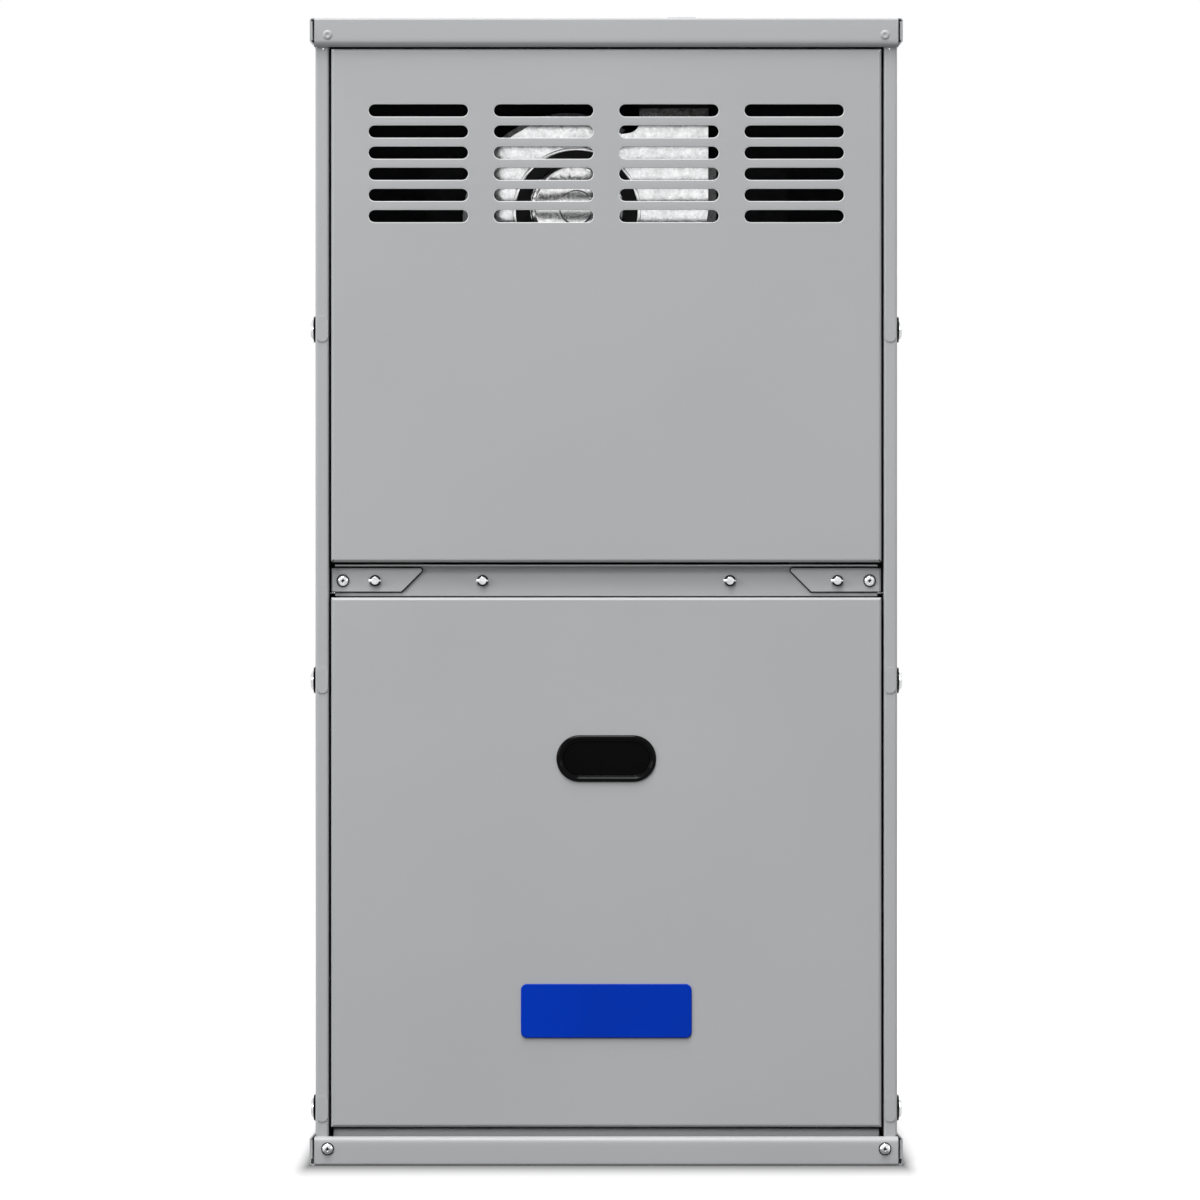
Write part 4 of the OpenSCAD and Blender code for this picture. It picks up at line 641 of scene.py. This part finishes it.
SIDES = 24          # points in each ring of a screw head; a multiple of six
HEX_HEAD = (        # ring shape, radius or half width across flats, and height over the sheet, in mm
    ("round", 5.1, -0.2), ("round", 5.1, 0.5), ("round", 4.7, 0.9), ("hex", 3.55, 0.95), ("hex", 3.55, 3.0),
    ("round", 3.3, 3.5), ("round", 2.3, 3.5), ("round", 1.9, 2.9))
HEAD_TURN = 0.7     # radians that each head is turned further than the one before it
HEAD_EDGE = 0.1     # rounding of a full-size head's edges, in mm
TREES = {}          # search trees of the nodes that screws sit on


def ring_points(shape, radius, height):
    """One ring of a screw head about the Z axis, as a circle or a hexagon."""
    flat = math.pi / 3
    points = []
    for i in range(SIDES):
        turn = 2 * math.pi * i / SIDES
        reach = radius
        if shape == "hex":
            reach = radius / math.cos((turn + flat / 2) % flat - flat / 2)
        points.append(Vector((reach * math.cos(turn), reach * math.sin(turn), height)))
    return points


def seat(node, start, way):
    """Where a line from start along way meets a node's surface, in mm, and the surface's outer normal."""
    if node not in TREES:
        me = NODES[node].data
        TREES[node] = BVHTree.FromPolygons([v.co / MM for v in me.vertices],
                                           [f.vertices[:] for f in me.polygons])
    place, normal, _, _ = TREES[node].ray_cast(Vector(start), Vector(way))
    if place is None:
        raise ValueError("no surface of " + node + " at " + str(start))
    return place, normal if normal.dot(Vector(way)) < 0 else -normal


def screws(name, node, starts, way, size=1.0):
    """One piece with a hex washer head where a line from each start along way meets the node's surface."""
    points = []
    faces = []
    for n, start in enumerate(starts):
        place, normal = seat(node, start, way)
        upright = normal.to_track_quat("Z", "Y")
        cos, sin = math.cos(HEAD_TURN * n), math.sin(HEAD_TURN * n)
        base = len(points)
        for shape, radius, height in HEX_HEAD:
            for v in ring_points(shape, radius * size, height * size):
                v = Vector((v.x * cos - v.y * sin, v.x * sin + v.y * cos, v.z))
                points.append((place + upright @ v) * MM)
        for r in range(len(HEX_HEAD) - 1):
            for i in range(SIDES):
                a, b = base + r * SIDES + i, base + r * SIDES + (i + 1) % SIDES
                faces.append((a, b, b + SIDES, a + SIDES))
        faces.append(tuple(base + (len(HEX_HEAD) - 1) * SIDES + i for i in range(SIDES)))
        faces.append(tuple(base + i for i in reversed(range(SIDES))))
    me = bpy.data.meshes.new(name)
    me.from_pydata(points, [], faces)
    me.materials.append(MATS["zinc_steel"])
    me.shade_smooth()
    obj = bpy.data.objects.new(name, me)
    bpy.context.scene.collection.objects.link(obj)
    soften(obj, HEAD_EDGE * size, segments=1, angle=25)
    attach(obj, BODY_OF[node])


def side_by_side(half_x, y, heights):
    """Starts at both sides of the middle, the right side first."""
    return [(side * half_x, y, z) for side in (1, -1) for z in heights]


BACKWARD, FORWARD, LEFTWARD, RIGHTWARD = (0, 1, 0), (0, -1, 0), (-1, 0, 0), (1, 0, 0)
# Places of the screws in mm. The starts lie clear of the surfaces that they look at.
OUTSIDE_X, BEHIND_Y, FRONT_Y, CLEAR = 300, 500, -200, 20
FLANGE_X, FLANGE_Z = 205, (70, 256, 442, 628, 814)
VEST_X, VEST_Z = 196, (475, 690, 850)
BAND_Y, CAP_Z, BASE_Z = (-230, 10, 250), 866, 12
LARGE, MEDIUM, SMALL = 0.85, 0.75, 0.45     # shares of the full size of a head
screws("rear_flange_screws", "back_panel", side_by_side(FLANGE_X, BEHIND_Y, FLANGE_Z), FORWARD, LARGE)
for part, node, height in (("cap", "top_cap", CAP_Z), ("base", "base_frame", BASE_Z)):
    for side, start_x, way in (("right", OUTSIDE_X, LEFTWARD), ("left", -OUTSIDE_X, RIGHTWARD)):
        screws(part + "_screws_" + side, node, [(start_x, y, height) for y in BAND_Y], way, MEDIUM)
for node, inset, size in (("control_bracket", 7, MEDIUM), ("control_board", 4.5, SMALL)):
    low, high = corners(node)
    plate_corners = [(x, low.y - CLEAR, z) for x in (low.x + inset, high.x - inset)
                     for z in (low.z + inset, high.z - inset)]
    screws(node + "_screws", node, plate_corners, BACKWARD, size)
screws("vest_screws", "vest_panel", side_by_side(VEST_X, FRONT_Y, VEST_Z), BACKWARD, LARGE)


# ---------- Stage: floor, light and camera ----------

def light_path_white(tree, strength, white, sockets):
    """Strength of an emission: white for the rays that the light path's sockets name, else strength."""
    path = tree.nodes.new("ShaderNodeLightPath")
    seen = path.outputs[sockets[0]]
    for socket in sockets[1:]:
        seen = math_node(tree, "MAXIMUM", seen, path.outputs[socket])
    level = tree.nodes.new("ShaderNodeMapRange")
    tree.links.new(seen, level.inputs["Value"])
    level.inputs["To Min"].default_value = strength
    level.inputs["To Max"].default_value = white
    return level.outputs["Result"]


WORLD_LEVEL = 0.08          # light from all round; the backdrop is white only to look at
WHITE = (1, 1, 1, 1)
world = bpy.data.worlds.new("studio")
bpy.context.scene.world = world
world.use_nodes = True
backdrop = world.node_tree.nodes["Background"]
backdrop.inputs["Color"].default_value = WHITE
looks = ("Is Camera Ray", "Is Glossy Ray", "Is Transmission Ray")
world.node_tree.links.new(light_path_white(world.node_tree, WORLD_LEVEL, 1.0, looks),
                          backdrop.inputs["Strength"])

FLOOR_SIZE = 30             # metres
FLOOR_GREY = 0.16           # how much light the floor throws back
bpy.ops.mesh.primitive_plane_add(size=FLOOR_SIZE, location=(0, 0, 0))
floor = bpy.context.object
floor.name = "floor"
floor_mat = bpy.data.materials.new("floor_white")
floor_mat.use_nodes = True
tree = floor_mat.node_tree
shader = tree.nodes["Principled BSDF"]
shader.inputs["Base Color"].default_value = (FLOOR_GREY, FLOOR_GREY, FLOOR_GREY, 1)
shader.inputs["Roughness"].default_value = 0.9
shader.inputs["Specular IOR Level"].default_value = 0.0
shader.inputs["Emission Color"].default_value = WHITE

# The floor's own glow, which only the camera and reflections see, holds a painted shadow of the cabinet:
# faint against the base, growing to full white away from it, as 1 - depth * exp(-distance ** power), with
# the depth and power below and the distance in reaches.
PAINTED_SHADOW_POWER = 1.3
PAINTED_SHADOW_DEPTH = 0.97
GLOSSY_SHARE = 0.6          # of the glow in reflections
CABINET = (                 # axis, half the cabinet's size along it, and the reach of the painted shadow, in metres
    (0, 0.2265, 0.0085),
    (1, 0.36, 0.076))
place = tree.nodes.new("ShaderNodeSeparateXYZ")
tree.links.new(tree.nodes.new("ShaderNodeTexCoord").outputs["Object"], place.inputs[0])
squares = []
for axis, half, reach in CABINET:
    outside = math_node(tree, "SUBTRACT", math_node(tree, "ABSOLUTE", place.outputs[axis]), half)
    reaches = math_node(tree, "DIVIDE", math_node(tree, "MAXIMUM", outside, 0.0), reach)
    squares.append(math_node(tree, "POWER", reaches, 2.0))
distance = math_node(tree, "SQRT", math_node(tree, "ADD", *squares))
decay = math_node(tree, "MULTIPLY", math_node(tree, "POWER", distance, PAINTED_SHADOW_POWER), -1.0)
# painted shadow of the cabinet in the floor's glow
painted_shadow = math_node(tree, "MULTIPLY", math_node(tree, "EXPONENT", decay), PAINTED_SHADOW_DEPTH)
seen = math_node(tree, "MAXIMUM",
                 light_path_white(tree, 0.0, 1.0, ("Is Camera Ray", "Is Transmission Ray")),
                 light_path_white(tree, 0.0, GLOSSY_SHARE, ("Is Glossy Ray",)))
tree.links.new(math_node(tree, "MULTIPLY", seen, math_node(tree, "SUBTRACT", 1.0, painted_shadow)),
               shader.inputs["Emission Strength"])
floor.data.materials.append(floor_mat)


def softbox(name, place, target, size, level):
    """Square area light. level is what a white surface that faces it at target would show."""
    aim = Vector(target) - Vector(place)
    data = bpy.data.lights.new(name, "AREA")
    data.size = size
    data.energy = level * math.pi ** 2 * aim.length_squared
    lamp = bpy.data.objects.new(name, data)
    bpy.context.scene.collection.objects.link(lamp)
    lamp.location = place
    lamp.rotation_euler = aim.to_track_quat("-Z", "Y").to_euler()


FRONT_MIDDLE = (0, -0.36, 0.45)
BACK_MIDDLE = (0, 0.36, 0.45)
MIDDLE = (0, 0, 0.45)
LAMPS = (                   # name, place, target, side of the square in metres, level
    ("top", (-0.45, -2.31, 8.5), FRONT_MIDDLE, 2.6, 0.6),
    ("high", (-1.05, -4.5, 8.4), FRONT_MIDDLE, 2.7, 0.45),
    ("front", (-1.65, -6.7, 6.6), FRONT_MIDDLE, 2.4, 0.33),
    ("left", (-4.6, -3.0, 1.8), FRONT_MIDDLE, 1.6, 0.3),
    ("side", (-5.5, 0.6, 1.8), MIDDLE, 2.0, 0.15),
    ("right", (4.5, -2.2, 1.5), FRONT_MIDDLE, 1.5, 0.12),
    ("side_right", (5.5, 0.8, 2.2), MIDDLE, 2.0, 0.2),
    ("back", (1.5, 4.5, 3.0), BACK_MIDDLE, 4.0, 0.45))
for row in LAMPS:
    softbox(*row)

CAMERA_PLACE = (-0.0048, -5.36, 0.4318)
CAMERA_FAR = 5.0            # from the front band, in metres
PICTURE_W = 0.916           # width of the picture at the front band, in metres
SENSOR_W = 36
camera_data = bpy.data.cameras.new("camera")
camera_data.sensor_width = SENSOR_W
camera_data.lens = SENSOR_W * CAMERA_FAR / PICTURE_W
camera_data.clip_end = 100
camera = bpy.data.objects.new("camera", camera_data)
bpy.context.scene.collection.objects.link(camera)
camera.location = CAMERA_PLACE
camera.rotation_euler = (math.pi / 2, 0, 0)
bpy.context.scene.camera = camera
bpy.context.scene.view_settings.view_transform = "Standard"
